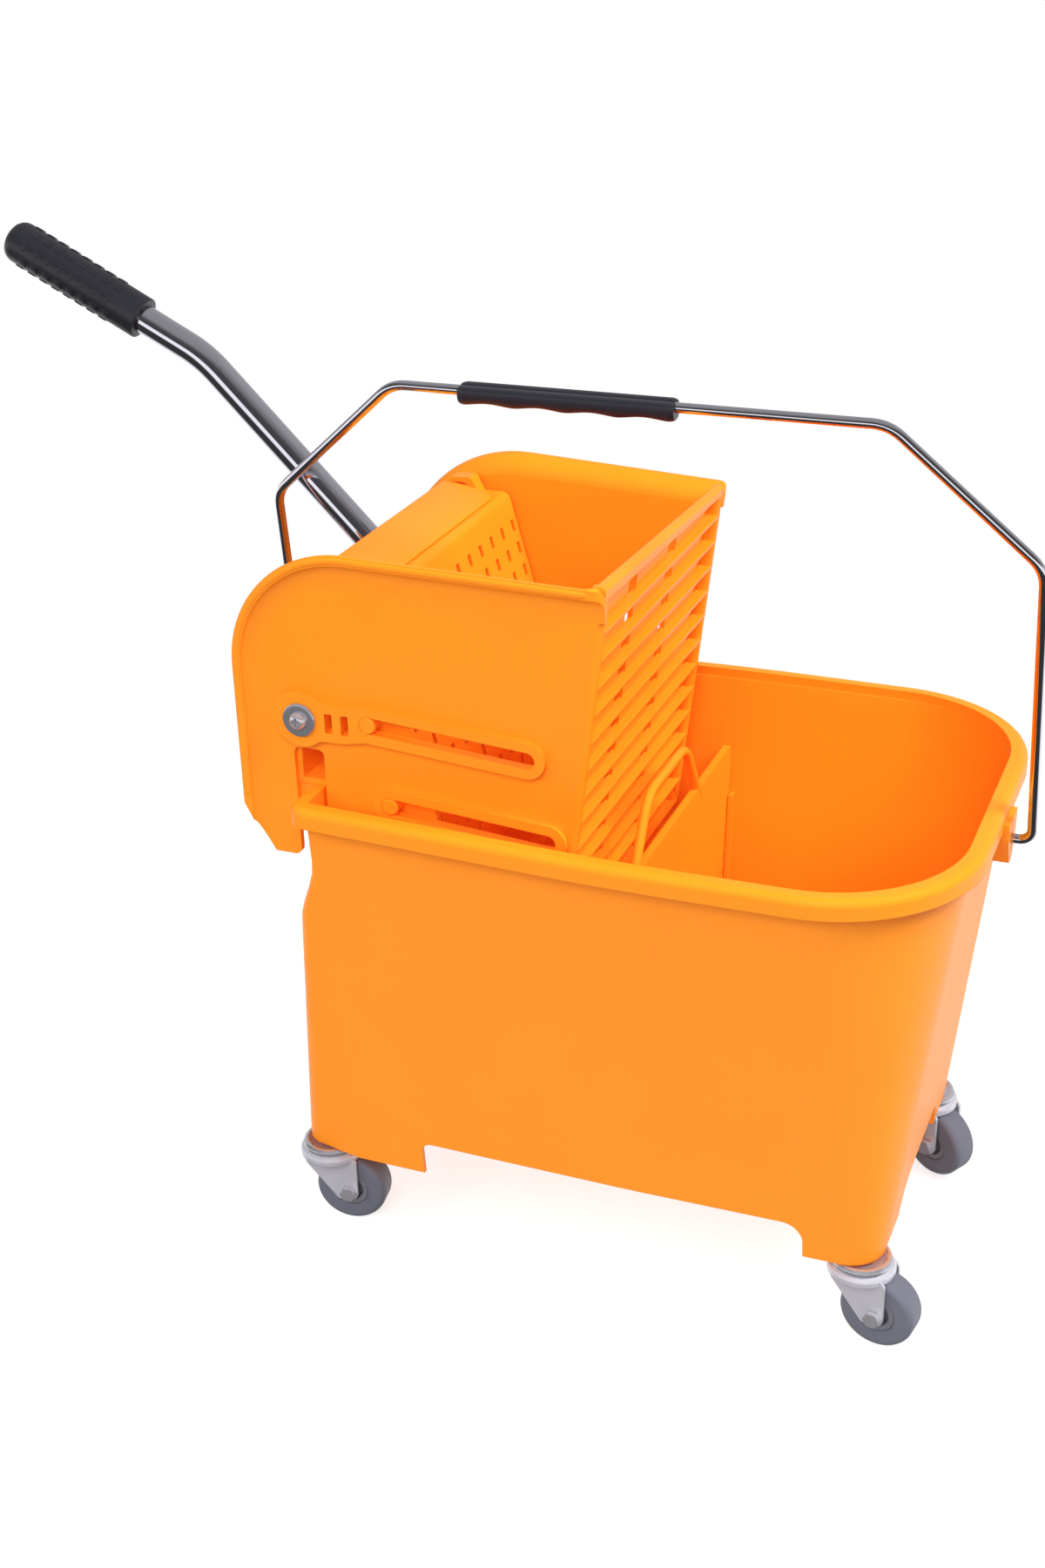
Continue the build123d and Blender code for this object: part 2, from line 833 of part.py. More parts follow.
def lever_hood():
    """Curved hood over the pivot, stiffened by a rib near each end."""
    sheet = strip(
        from_pivot([
            (9, 8),
            (25, hood_rise / 2, 45),
            (22, hood_rise + 2, 15),
            (5, hood_rise),
        ]),
        hood_sheet,
    )
    rib = rounded(from_pivot([(2, 6), (12, 6), (23, 46), (20, 78, 14), (4, 84)]))
    solids = [across(sheet, hood_margin - plate_half, plate_half - hood_margin)]
    for y in (-rib_y - hood_sheet, rib_y):
        solids.append(across(rib, y, y + hood_sheet))
    return solids


def make_lever_bracket():
    half = cheek_in - 2.5
    torque = rod_y(pivot_x, pivot_z, torque_radius, -half, half)
    socket = tube_plane().location * Pos(0, 0, socket_length / 2) * Cylinder(socket_outer, socket_length)
    web = across(rounded(from_pivot([(-8, 6), (12, 6), (19, 48), (-16, 62)])), -4, 4)
    seat = bolt_rod(bolt_flats / 2 + 2, -bolt_seat, bolt_seat)
    body = torque + lever_hood() + [socket, web, seat, far_and_near(cam_arm())]
    cuts = [
        rod_y(pivot_x, pivot_z, bush_radius + run, -half - 1, half + 1),
        tube_plane().location * Pos(0, 0, lever_lower / 4) * Cylinder(tube_radius, lever_lower / 2),
        bolt_rod(axle_radius, -bolt_seat - 1, bolt_seat + 1),
    ]
    return body - cuts


def lever_route():
    """First point, corner and last point of the lever tube's centre line in X and Z, and its last way."""
    first = Vector(pivot_x + socket_start[0], pivot_z + socket_start[1])
    corner = first + socket_way * lever_lower
    angle = radians(lever_rise - lever_bend)
    upper_way = Vector(-cos(angle), sin(angle))
    return first, corner, corner + upper_way * lever_upper, upper_way


def make_lever_tube():
    first, corner, last, _ = lever_route()
    line = [(first.X, first.Y, 0), (corner.X, corner.Y, lever_bend_radius), (last.X, last.Y, 0)]
    path = Plane.XZ.location * route(line)
    ring = disc(tube_radius) - disc(tube_radius - tube_wall)
    return sweep(tube_plane().location * ring, path=path) - bolt_rod(axle_radius, -bolt_seat, bolt_seat)


def make_lever_grip():
    _, _, last, way = lever_route()
    place = Plane(origin=(last.X, 0, last.Y), x_dir=(0, 1, 0), z_dir=(way.X, 0, way.Y))
    foot = grip_cap - grip_length
    grip = spun([
        (0, grip_cap, 0),
        (grip_radius, grip_cap, 4),
        (grip_radius, foot, 1),
        (tube_radius, foot, 0),
        (tube_radius, 0, 0),
        (0, 0, 0),
    ])
    return place.location * grip


def bolt_hexagon(y, height):
    """Hexagon on the bolt's axis, from a Y value toward the near side."""
    return Pos(pivot_x + bolt_at[0], y, pivot_z + bolt_at[1]) * Rot(90, 0, 0) * hexagon(bolt_flats, height)


def make_lever_bolt():
    return bolt_rod(axle_radius, -bolt_seat, bolt_seat + bolt_nut + 1) + bolt_hexagon(-bolt_seat, bolt_head)


def make_lever_nut():
    nut_end = bolt_seat + bolt_nut
    return bolt_hexagon(nut_end, bolt_nut) - bolt_rod(axle_radius, bolt_seat - 1, nut_end + 1)


# Pivot
def pivot_rod(radius, y0, y1):
    return rod_y(pivot_x, pivot_z, radius, y0, y1)


def pivot_rings(radius, y0, y1):
    """Ring round each pivot screw."""
    return far_and_near(pivot_rod(radius, y0, y1) - pivot_rod(screw_radius, y0 - 1, y1 + 1))


def make_pivot_bushes():
    return pivot_rings(bush_radius, bush_in, boss_y)


def make_pivot_washers():
    return pivot_rings(washer_radius, boss_y, boss_y + washer_thickness)


def make_pivot_screws():
    seat = boss_y + washer_thickness
    crown = 0.7 * screw_head
    head = spun([(0, 0, 0), (screw_head, 0, 0), (screw_head, crown, 0.9 * crown), (0, crown, 0)])
    slot = 0.3 * screw_head
    recess = Pos(0, 0, crown) * (Box(screw_head, slot, crown) + Box(slot, screw_head, crown))
    head = Pos(pivot_x, seat, pivot_z) * Rot(-90, 0, 0) * (head - recess)
    return far_and_near(head + pivot_rod(screw_radius, bush_in - sleeve_nut_length, seat))


def make_pivot_nuts():
    return pivot_rings(bush_radius - 0.8, bush_in - sleeve_nut_length, bush_in)


# Return springs
def biarc(p0, t0, p1, t1):
    """Two arcs that leave p0 along t0 and reach p1 along t1."""
    span = p1 - p0
    both = t0 + t1
    spread = 2 * (1 - t0.dot(t1))
    reach = (sqrt(span.dot(both) ** 2 + spread * span.dot(span)) - span.dot(both)) / spread
    a = p0 + t0 * reach
    b = p1 - t1 * reach
    joint = (a + b) / 2
    return [
        Edge.make_tangent_arc(p0, t0, joint),
        Edge.make_tangent_arc(joint, (b - a).normalized(), p1),
    ]


def spring_stations():
    """Points and directions along one return spring, from its fixed hook to its moving one."""
    a = Vector(pivot_x + fixed_post[0], 0, pivot_z + fixed_post[1])
    b = Vector(pivot_x + moving_post[0], 0, pivot_z + moving_post[1])
    axis = (b - a).normalized()
    side = Vector(0, 1, 0).cross(axis)
    length = (b - a).length
    loop = spring_post + spring_wire / 2 + gap

    def hook(centre, quarters):
        points = []
        for quarter in quarters:
            turn = quarter * pi / 2
            points.append((
                centre + side * (loop * cos(turn)) + axis * (loop * sin(turn)),
                axis * cos(turn) - side * sin(turn),
            ))
        return points

    lead = loop + spring_coil
    pitch = (length - 2 * lead) / spring_turns
    rise = pitch / (2 * pi * spring_coil)
    coils = []
    for half_turn in range(1, 2 * spring_turns):
        turn = half_turn * pi - pi / 2
        out = side * cos(turn) + Vector(0, 1, 0) * sin(turn)
        around = Vector(0, 1, 0) * cos(turn) - side * sin(turn)
        coils.append((
            a + axis * (lead + pitch * (half_turn / 2 - 1 / 4)) + out * spring_coil,
            (around + axis * rise).normalized(),
        ))
    return hook(a, (-3, -2, -1, 0)) + coils + hook(b, (0, 1, 2, 3))


def make_return_spring(y):
    stations = spring_stations()
    edges = []
    for (p0, t0), (p1, t1) in zip(stations, stations[1:]):
        edges += biarc(p0, t0, p1, t1)
    path = Wire(edges)
    start = Plane(origin=stations[0][0], z_dir=stations[0][1])
    return Pos(0, y, 0) * sweep(start.location * disc(spring_wire / 2), path=path), path


def least_self_gap(path):
    """Least clear distance between points of a spring that lie over half a turn apart along it."""
    count = 24 * spring_turns
    points = [path @ (i / count) for i in range(count + 1)]
    skip = ceil(pi * spring_coil / (path.length / count))
    distances = [
        (points[i] - points[j]).length
        for i in range(count + 1)
        for j in range(i + skip, count + 1)
    ]
    return min(distances) - spring_wire


# Bail
def bail_place():
    """Upright bail frame, with the hinge axis as its base line, leaned toward the near side."""
    return Pos(bail_mid, 0, bail_z) * Rot(bail_lean, 0, 0)


def make_bail_wire():
    side = [
        (bail_half - bail_stub, 0, 0),
        (bail_half, 0, 8),
        (bail_half - bail_leg_draw, bail_leg, 22),
        (bail_bar_half, bail_rise, 25),
    ]
    path = Plane.XZ.location * route(both_sides(side))
    start = Plane(origin=(bail_half - bail_stub, 0, 0), z_dir=(1, 0, 0))
    return bail_place() * sweep(start.location * disc(wire_radius), path=path)


def make_bail_grip():
    """Grip clipped over the bar from below, with a slit along its top and hollows for the fingers."""
    half = bail_grip_length / 2
    side = bail_grip_width / 2
    top = wire_radius + 0.8
    low = top - bail_grip_depth
    ends = rounded(both_sides([(-half + 4.5, top, 1), (-half, -2, 2), (-half + 2.5, low, 1)]))
    girth = rounded(both_sides([(-side + 1, top, 2), (-side, low + 5, 3), (-side + 4, low, 3)]))
    body = across(ends, -side, side) & along(girth, -half, half)
    finger_pitch = (bail_grip_length - 5) / fingers
    finger_radius = (finger_pitch ** 2 / 8 + finger_depth ** 2 / 2) / finger_depth
    cuts = [
        rod_x(0, 0, wire_radius, -half - 1, half + 1),
        block(-half - 1, half + 1, -bail_grip_slit / 2, bail_grip_slit / 2, 0, top + 1),
    ]
    for i in range(fingers):
        x = finger_pitch * (i - (fingers - 1) / 2)
        cuts.append(rod_y(x, low + finger_depth - finger_radius, finger_radius, -side - 1, side + 1))
    return bail_place() * Pos(-bail_grip_shift, 0, bail_rise) * (body - cuts)


# Divider
def make_divider():
    clear = wall + slide_gap + 1
    foot = floor_top + 0.2
    low = half_width(foot) - clear
    high = half_width(divider_top) - clear
    x0 = divider_x - divider_thickness / 2
    outline = rounded(both_sides([(-high, divider_top, 6), (-low, foot, 3)]))
    plate = along(outline, x0, x0 + divider_thickness)
    leg_root = divider_top - 3 * loop_bar
    shoulder = 0.55 * loop_half
    line = both_sides([(-loop_half, leg_root, 0), (-shoulder, divider_top + loop_rise - loop_bar, 24)])
    path = Pos(divider_x, 0, 0) * Plane.YZ.location * route(line)
    start = Plane(origin=path @ 0, z_dir=path % 0)
    return plate + sweep(start.location * disc(loop_bar), path=path)


# Casters
def make_fork(fork_in):
    """Pressed fork: a dished crown round the stem and two tapering legs that trail to the axle."""
    fork_out = fork_in + fork_sheet
    crown = spun([
        (stem_radius + run, crown_under, 0),
        (crown_radius - fork_sheet, crown_under, 1),
        (crown_radius - fork_sheet, fork_top - crown_drop, 0),
        (crown_radius, fork_top - crown_drop, 0),
        (crown_radius, fork_top, 3),
        (stem_radius + run, fork_top, 0),
    ])
    leg_back = sqrt((crown_radius - 1) ** 2 - fork_out ** 2)
    leg = across(
        rounded([
            (-leg_back, crown_under + fork_sheet / 2, 0),
            (-leg_back, fork_top - crown_drop - 3, 8),
            (caster_trail - fork_foot - 1, axle_z - fork_foot, fork_foot - 1),
            (caster_trail + fork_foot, axle_z - fork_foot, fork_foot - 0.5),
            (caster_trail + fork_foot, fork_top - crown_drop, 4),
            (leg_back, crown_under + fork_sheet / 2, 0),
        ]),
        fork_in,
        fork_out,
    )
    axle_hole = rod_y(caster_trail, axle_z, axle_radius, -fork_out - 1, fork_out + 1)
    return crown + far_and_near(leg) - axle_hole


def make_cup():
    """Swivel race pressed round the stem, a bright rolled ring above the fork."""
    return spun([
        (stem_radius, nut_seat - 2, 0),
        (cup_radius - 7, nut_seat - 2, 0),
        (cup_radius - 5, cup_low, 0),
        (cup_radius - 1.6, cup_low, 0),
        (cup_radius, cup_low + 1.6, 0),
        (cup_radius, cup_top - 1.6, 0),
        (cup_radius - 1.6, cup_top, 0),
        (cup_radius - 3.4, cup_top, 0),
        (cup_radius - 5, cup_top - 1.4, 0),
        (cup_radius - 6, nut_seat, 0),
        (stem_radius, nut_seat, 0),
    ])


def make_wheel():
    """Hub and tyre about Z, centred on the origin."""
    tyre_inner = wheel_diameter / 2 - tyre_wall
    rim = wheel_diameter / 2
    side = tyre_width / 2
    hub_end = side + 0.9
    recess = side - 3.5
    hub_half = [
        (axle_radius + run, hub_end, 0),
        (axle_radius + 3, hub_end, 0),
        (axle_radius + 4.5, recess, 0),
        (tyre_inner - 3, recess, 0),
        (tyre_inner - 1.5, side - 0.4, 0),
        (tyre_inner, side - 0.4, 0),
    ]
    tyre_half = [
        (tyre_inner, side, 0),
        (rim - 4, side, 0),
        (rim - 1.4, side - 1.6, 0),
        (rim, side - 4.5, 0),
    ]
    halves = []
    for half in (hub_half, tyre_half):
        halves.append(spun(half + [(radius, -z, rounding) for radius, z, rounding in half[::-1]]))
    return halves


def make_caster():
    """Pieces of one caster about its own stem, trailing toward +X."""
    def on_axle(solid):
        return Pos(caster_trail, 0, axle_z) * Rot(90, 0, 0) * solid

    fork_in = tyre_width / 2 + 1.5
    fork_out = fork_in + fork_sheet
    head_top = crown_under - gap
    hub, tyre = make_wheel()
    nut_hole = rod_z(0, 0, stem_radius, nut_seat - 1, boss_foot + 1)
    bolt = rod_z(0, 0, axle_radius, -fork_out - bolt_nut - 1, fork_out)
    bolt_hole = rod_z(0, 0, axle_radius, -fork_out - bolt_nut - 2, 0)
    return {
        "stem": rod_z(0, 0, stem_radius, head_top, stem_top) + rod_z(0, 0, stem_head, head_top - 3, head_top),
        "stem_nut": Pos(0, 0, nut_seat) * hexagon(stem_nut_flats, stem_nut_height) - nut_hole,
        "cup": make_cup(),
        "fork": make_fork(fork_in),
        "axle": on_axle(bolt + Pos(0, 0, fork_out) * hexagon(bolt_flats, bolt_head)),
        "axle_nut": on_axle(Pos(0, 0, -fork_out - bolt_nut) * hexagon(bolt_flats, bolt_nut) - bolt_hole),
        "hub": on_axle(hub),
        "tyre": on_axle(tyre),
    }


spring_far, spring_path = make_return_spring(spring_y)
spring_near, _ = make_return_spring(-spring_y)
nodes = {
    "bucket": make_bucket(),
    "divider_plate": make_divider(),
    "bail_wire": make_bail_wire(),
    "bail_grip": make_bail_grip(),
    "wringer_body": make_wringer(),
    "press_plate": make_press_plate(),
    "guide_pins": make_guide_pins(),
    "lever_bracket": make_lever_bracket(),
    "lever_tube": make_lever_tube(),
    "lever_grip": make_lever_grip(),
    "lever_bolt": make_lever_bolt(),
    "lever_nut": make_lever_nut(),
    "pivot_screws": make_pivot_screws(),
    "pivot_washers": make_pivot_washers(),
    "pivot_bushes": make_pivot_bushes(),
    "pivot_nuts": make_pivot_nuts(),
    "return_spring_far": spring_far,
    "return_spring_near": spring_near,
}
caster = make_caster()
for place, (x, y) in caster_places.items():
    for piece, solid in caster.items():
        nodes[f"caster_{place}_{piece}"] = Pos(x, y, 0) * Rot(0, 0, caster_turn[place]) * solid

os.makedirs("parts", exist_ok=True)
for name, solid in nodes.items():
    export_step(solid, f"parts/{name}.step")
print("press travel", round(press_travel, 2), "spring least gap", round(least_self_gap(spring_path), 2))
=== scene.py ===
import json
from math import atan2, cos, pi, radians, sin, sqrt, tan

import bmesh
import bpy
from mathutils import Matrix, Quaternion, Vector


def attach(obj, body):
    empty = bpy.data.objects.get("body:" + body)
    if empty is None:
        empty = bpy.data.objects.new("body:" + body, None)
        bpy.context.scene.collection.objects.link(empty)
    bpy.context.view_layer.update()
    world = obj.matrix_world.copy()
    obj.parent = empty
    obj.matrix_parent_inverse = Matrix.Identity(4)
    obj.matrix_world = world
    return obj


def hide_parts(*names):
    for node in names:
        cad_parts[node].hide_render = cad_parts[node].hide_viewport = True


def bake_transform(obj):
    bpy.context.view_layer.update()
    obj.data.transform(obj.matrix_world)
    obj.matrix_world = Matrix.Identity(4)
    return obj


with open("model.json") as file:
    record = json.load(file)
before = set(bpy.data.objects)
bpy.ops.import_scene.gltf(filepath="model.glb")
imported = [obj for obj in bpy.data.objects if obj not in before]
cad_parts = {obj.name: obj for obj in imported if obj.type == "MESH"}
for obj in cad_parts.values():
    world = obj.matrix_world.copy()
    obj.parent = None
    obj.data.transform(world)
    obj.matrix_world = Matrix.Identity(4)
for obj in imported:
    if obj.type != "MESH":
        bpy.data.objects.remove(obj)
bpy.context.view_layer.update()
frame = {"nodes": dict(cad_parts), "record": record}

nodes = frame["nodes"]
scene = bpy.context.scene
slot_of = {row["node"]: row["material_slot"] for row in frame["record"]["subparts"]}
joint_of = {row["name"]: row for row in frame["record"]["behaviour"]["joints"]}
lever_pivot = Vector(joint_of["lever_press"]["pos_m"])
bail_pivot = Vector(joint_of["bail_swing"]["pos_m"])
mm = 0.001


# Shader building blocks
def new_group(name, inputs, outputs):
    """An empty shader group whose sockets are given as (label, default) inputs and labelled outputs."""
    group = bpy.data.node_groups.new(name, "ShaderNodeTree")
    for label, default in inputs:
        socket = group.interface.new_socket(label, in_out="INPUT", socket_type="NodeSocketFloat")
        socket.default_value = default
    for label in outputs:
        group.interface.new_socket(label, in_out="OUTPUT", socket_type="NodeSocketFloat")
    return group, group.nodes.new("NodeGroupInput"), group.nodes.new("NodeGroupOutput")


def add(tree, kind, **values):
    """A node with some of its settings and unlinked inputs filled in."""
    node = tree.nodes.new(kind)
    for key, value in values.items():
        if hasattr(node, key):
            setattr(node, key, value)
        else:
            node.inputs[key.replace("_", " ")].default_value = value
    return node


def moulded_grain():
    """Fine moulded grain and the slow waviness of a wall, as one height, with the slow part as patches."""
    group, given, result = new_group(
        "Moulded grain", [("Grain size", 900.0), ("Waviness", 0.4)], ["Height", "Patches"]
    )
    place = add(group, "ShaderNodeTexCoord")
    fine = add(group, "ShaderNodeTexNoise", Detail=3.0, Roughness=0.6)
    slow = add(group, "ShaderNodeTexNoise", Scale=11.0, Detail=2.0)
    swell = add(group, "ShaderNodeMath", operation="MULTIPLY")
    total = add(group, "ShaderNodeMath", operation="ADD")
    link = group.links.new
    link(place.outputs["Object"], fine.inputs["Vector"])
    link(place.outputs["Object"], slow.inputs["Vector"])
    link(given.outputs["Grain size"], fine.inputs["Scale"])
    link(slow.outputs["Fac"], swell.inputs[0])
    link(given.outputs["Waviness"], swell.inputs[1])
    link(fine.outputs["Fac"], total.inputs[0])
    link(swell.outputs[0], total.inputs[1])
    link(total.outputs[0], result.inputs["Height"])
    link(slow.outputs["Fac"], result.inputs["Patches"])
    return group


def handling_scuffs():
    """Sparse fine scratches from handling, as a mask."""
    group, given, result = new_group("Handling scuffs", [("Spread", 0.68)], ["Mask"])
    place = add(group, "ShaderNodeTexCoord")
    turn = add(group, "ShaderNodeMapping")
    turn.inputs["Rotation"].default_value = (0.5, 0.9, 0.3)
    turn.inputs["Scale"].default_value = (14.0, 420.0, 160.0)
    streak = add(group, "ShaderNodeTexNoise", Scale=1.0, Detail=2.0)
    where = add(group, "ShaderNodeTexNoise", Scale=17.0, Detail=1.0)
    cut = add(group, "ShaderNodeMath", operation="GREATER_THAN")
    keep = add(group, "ShaderNodeMapRange", From_Min=0.52, From_Max=0.7)
    both = add(group, "ShaderNodeMath", operation="MULTIPLY")
    link = group.links.new
    link(place.outputs["Object"], turn.inputs["Vector"])
    link(turn.outputs["Vector"], streak.inputs["Vector"])
    link(place.outputs["Object"], where.inputs["Vector"])
    link(streak.outputs["Fac"], cut.inputs[0])
    link(given.outputs["Spread"], cut.inputs[1])
    link(where.outputs["Fac"], keep.inputs["Value"])
    link(cut.outputs[0], both.inputs[0])
    link(keep.outputs["Result"], both.inputs[1])
    link(both.outputs[0], result.inputs["Mask"])
    return group


grain = moulded_grain()
scuffs = handling_scuffs()


def new_material(name, **values):
    """A material with one Principled shader whose even values are set on its own sockets."""
    material = bpy.data.materials.new(name)
    material.use_nodes = True
    shader = material.node_tree.nodes["Principled BSDF"]
    for key, value in values.items():
        shader.inputs[key.replace("_", " ")].default_value = value
    return material, material.node_tree, shader


def colour_between(tree, factor, low, high):
    """A colour that runs between two others with a factor."""
    mix = add(tree, "ShaderNodeMix", data_type="RGBA")
    mix.inputs["A"].default_value = (*low, 1)
    mix.inputs["B"].default_value = (*high, 1)
    tree.links.new(factor, mix.inputs["Factor"])
    return mix.outputs["Result"]


def value_between(tree, factor, low, high):
    """A value that runs between two others with a factor."""
    span = add(tree, "ShaderNodeMapRange", To_Min=low, To_Max=high)
    tree.links.new(factor, span.inputs["Value"])
    return span.outputs["Result"]


def surface(name, dark, light, rough, grain_size, waviness, depth, spread, edge=0.001, **values):
    """Plastic, rubber or metal: colour patches, scuffed roughness, a grained normal and soft edges."""
    scuff_roughness = 0.18
    material, tree, shader = new_material(name, **values)
    texture = add(tree, "ShaderNodeGroup", node_tree=grain, Grain_size=grain_size, Waviness=waviness)
    marks = add(tree, "ShaderNodeGroup", node_tree=scuffs, Spread=spread)
    bump = add(tree, "ShaderNodeBump", Strength=1.0, Distance=depth)
    soft = add(tree, "ShaderNodeBevel", samples=4, Radius=edge)
    worn = add(tree, "ShaderNodeMath", operation="MULTIPLY_ADD")
    worn.inputs[1].default_value = scuff_roughness
    link = tree.links.new
    link(marks.outputs["Mask"], worn.inputs[0])
    link(value_between(tree, texture.outputs["Patches"], *rough), worn.inputs[2])
    link(colour_between(tree, texture.outputs["Patches"], dark, light), shader.inputs["Base Color"])
    link(worn.outputs[0], shader.inputs["Roughness"])
    link(texture.outputs["Height"], bump.inputs["Height"])
    link(soft.outputs["Normal"], bump.inputs["Normal"])
    link(bump.outputs["Normal"], shader.inputs["Normal"])
    return material


finishes = {
    "orange_plastic": surface(
        "Orange moulded plastic", dark=(0.93, 0.288, 0.011), light=(0.96, 0.31, 0.014),
        rough=(0.36, 0.46), grain_size=1400.0, waviness=0.6, depth=0.00005, spread=0.7,
        # The orange plastic's faint orange emission is a painted glow: it lifts its shadows and recesses,
        # standing in for light scattered through the plastic
        Specular_IOR_Level=0.3, Emission_Color=(1.0, 0.1, 0.012, 1), Emission_Strength=0.1,
    ),
    "chrome": surface(
        "Bright plated tube", dark=(0.66, 0.65, 0.73), light=(0.72, 0.71, 0.79),
        rough=(0.05, 0.1), grain_size=500.0, waviness=0.2, depth=0.000005, spread=0.7,
        edge=0.00005, Metallic=1.0,
    ),
    "zinc": surface(
        "Zinc plate", dark=(0.66, 0.65, 0.71), light=(0.76, 0.75, 0.81),
        rough=(0.2, 0.3), grain_size=800.0, waviness=0.3, depth=0.00003, spread=0.66,
        Metallic=0.7,
    ),
    "black_plastic": surface(
        "Black grip plastic", dark=(0.013, 0.013, 0.019), light=(0.021, 0.021, 0.03),
        rough=(0.34, 0.46), grain_size=1100.0, waviness=0.5, depth=0.00008, spread=0.68,
    ),
    "black_rubber": surface(
        "Black sleeve rubber", dark=(0.012, 0.012, 0.017), light=(0.02, 0.02, 0.027),
        rough=(0.32, 0.44), grain_size=1500.0, waviness=0.4, depth=0.00005, spread=0.7,
        edge=0.0003,
    ),
    "tyre_rubber": surface(
        "Grey tyre rubber", dark=(0.125, 0.132, 0.17), light=(0.16, 0.168, 0.21),
        rough=(0.42, 0.56), grain_size=700.0, waviness=0.5, depth=0.0001, spread=0.66,
    ),
    "hub_plastic": surface(
        "Grey hub plastic", dark=(0.15, 0.15, 0.18), light=(0.2, 0.2, 0.235),
        rough=(0.4, 0.5), grain_size=900.0, waviness=0.5, depth=0.00008, spread=0.68,
    ),
    "nylon": surface(
        "Natural nylon", dark=(0.66, 0.64, 0.58), light=(0.74, 0.72, 0.66),
        rough=(0.35, 0.45), grain_size=900.0, waviness=0.5, depth=0.00006, spread=0.7,
    ),
    "spring_steel": surface(
        "Spring wire", dark=(0.38, 0.38, 0.4), light=(0.5, 0.5, 0.52),
        rough=(0.24, 0.36), grain_size=700.0, waviness=0.3, depth=0.00003, spread=0.66,
        Metallic=1.0,
    ),
    "fork_plate": surface(
        "Satin fork plate", dark=(0.6, 0.59, 0.66), light=(0.7, 0.69, 0.76),
        rough=(0.24, 0.34), grain_size=800.0, waviness=0.3, depth=0.00003, spread=0.66,
        Metallic=0.35,
    ),
    "cup_plate": surface(
        "Bright swivel cup", dark=(0.7, 0.69, 0.75), light=(0.78, 0.77, 0.83),
        rough=(0.1, 0.17), grain_size=800.0, waviness=0.3, depth=0.00001, spread=0.7,
        Metallic=0.8,
    ),
    "washer_steel": surface(
        "Dulled washer", dark=(0.5, 0.51, 0.57), light=(0.66, 0.67, 0.74),
        rough=(0.14, 0.26), grain_size=900.0, waviness=0.4, depth=0.00003, spread=0.62,
        Metallic=0.75,
    ),
}


def dress(obj, finish):
    """Gives an object one finish."""
    obj.data.materials.clear()
    obj.data.materials.append(finishes[finish])


for name, node in nodes.items():
    if name.endswith("_fork"):
        dress(node, "fork_plate")
    elif name.endswith("_cup"):
        dress(node, "cup_plate")
    else:
        dress(node, slot_of[name])


# Helpers for the pieces that are made here. Sizes are in millimetres, and outlines start at the lever pivot
def settle(name, mesh, slot, body, stands_for):
    """An object from a mesh, dressed and riding on a body, in place of some CAD nodes."""
    obj = bpy.data.objects.new(name, mesh)
    scene.collection.objects.link(obj)
    dress(obj, slot)
    if body:
        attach(obj, body)
    if stands_for:
        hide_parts(*stands_for)
    return obj


def new_piece(name, work, slot, body, *stands_for, sharp=40):
    """A settled object from finished mesh work, smooth but for its sharp edges."""
    mesh = bpy.data.meshes.new(name)
    bmesh.ops.recalc_face_normals(work, faces=work.faces)
    work.to_mesh(mesh)
    work.free()
    for face in mesh.polygons:
        face.use_smooth = True
    mesh.set_sharp_from_angle(angle=radians(sharp))
    return settle(name, mesh, slot, body, stands_for)


def bridge(work, rings, closed=False):
    """Faces between successive rings of vertices, each ring a closed loop."""
    pairs = list(zip(rings, rings[1:] + rings[:1] if closed else rings[1:]))
    for low, high in pairs:
        for i in range(len(low)):
            j = (i + 1) % len(low)
            work.faces.new((low[i], low[j], high[j], high[i]))


def place_along(origin, way, across=(0, 1, 0)):
    """A placing matrix at an origin whose Z runs along a direction and whose X runs across it."""
    z = Vector(way).normalized()
    x = Vector(across).normalized()
    y = z.cross(x)
    turn = Matrix((x, y, z)).transposed().to_4x4()
    return Matrix.Translation(Vector(origin)) @ turn


def turned(work, profile, place, steps=72, hollow=False):
    """A closed surface of revolution about a placed Z axis, from (radius, height) pairs."""
    rings = []
    for radius, height in profile:
        ring = []
        for i in range(steps):
            turn = 2 * pi * i / steps
            ring.append(work.verts.new(place @ Vector((radius * cos(turn), radius * sin(turn), height))))
        rings.append(ring)
    bridge(work, rings, closed=hollow)
    if not hollow:
        cap_ends(work, rings)


def rounded(corners, steps=6):
    """Points of an outline from (x, z, radius) corners. An open one has no radius at its two ends."""
    points = []
    for i, (x, z, radius) in enumerate(corners):
        here = Vector((x, z))
        if not radius:
            points.append(here)
            continue
        back = (Vector(corners[i - 1][:2]) - here).normalized()
        ahead = (Vector(corners[(i + 1) % len(corners)][:2]) - here).normalized()
        half = back.angle(ahead) / 2
        middle = here + (back + ahead).normalized() * (radius / sin(half))
        start = here + back * (radius / tan(half)) - middle
        end = here + ahead * (radius / tan(half)) - middle
        for k in range(steps + 1):
            points.append(middle + start.slerp(end, k / steps) * radius)
    return points


def loop_at(work, outline, y):
    """A loop of vertices from an outline of (x, z) points, in millimetres from the lever pivot."""
    return [work.verts.new(lever_pivot + Vector((x, y, z)) * mm) for x, z in outline]


def cap_ends(work, rings):
    """Faces over the first and the last ring."""
    for ring in (rings[0], rings[-1]):
        work.faces.new(ring)


def extruded(work, outline, *places):
    """A solid across the bucket, from an outline and the Y places of its ends."""
    rings = [loop_at(work, outline, y) for y in places]
    bridge(work, rings)
    cap_ends(work, rings)


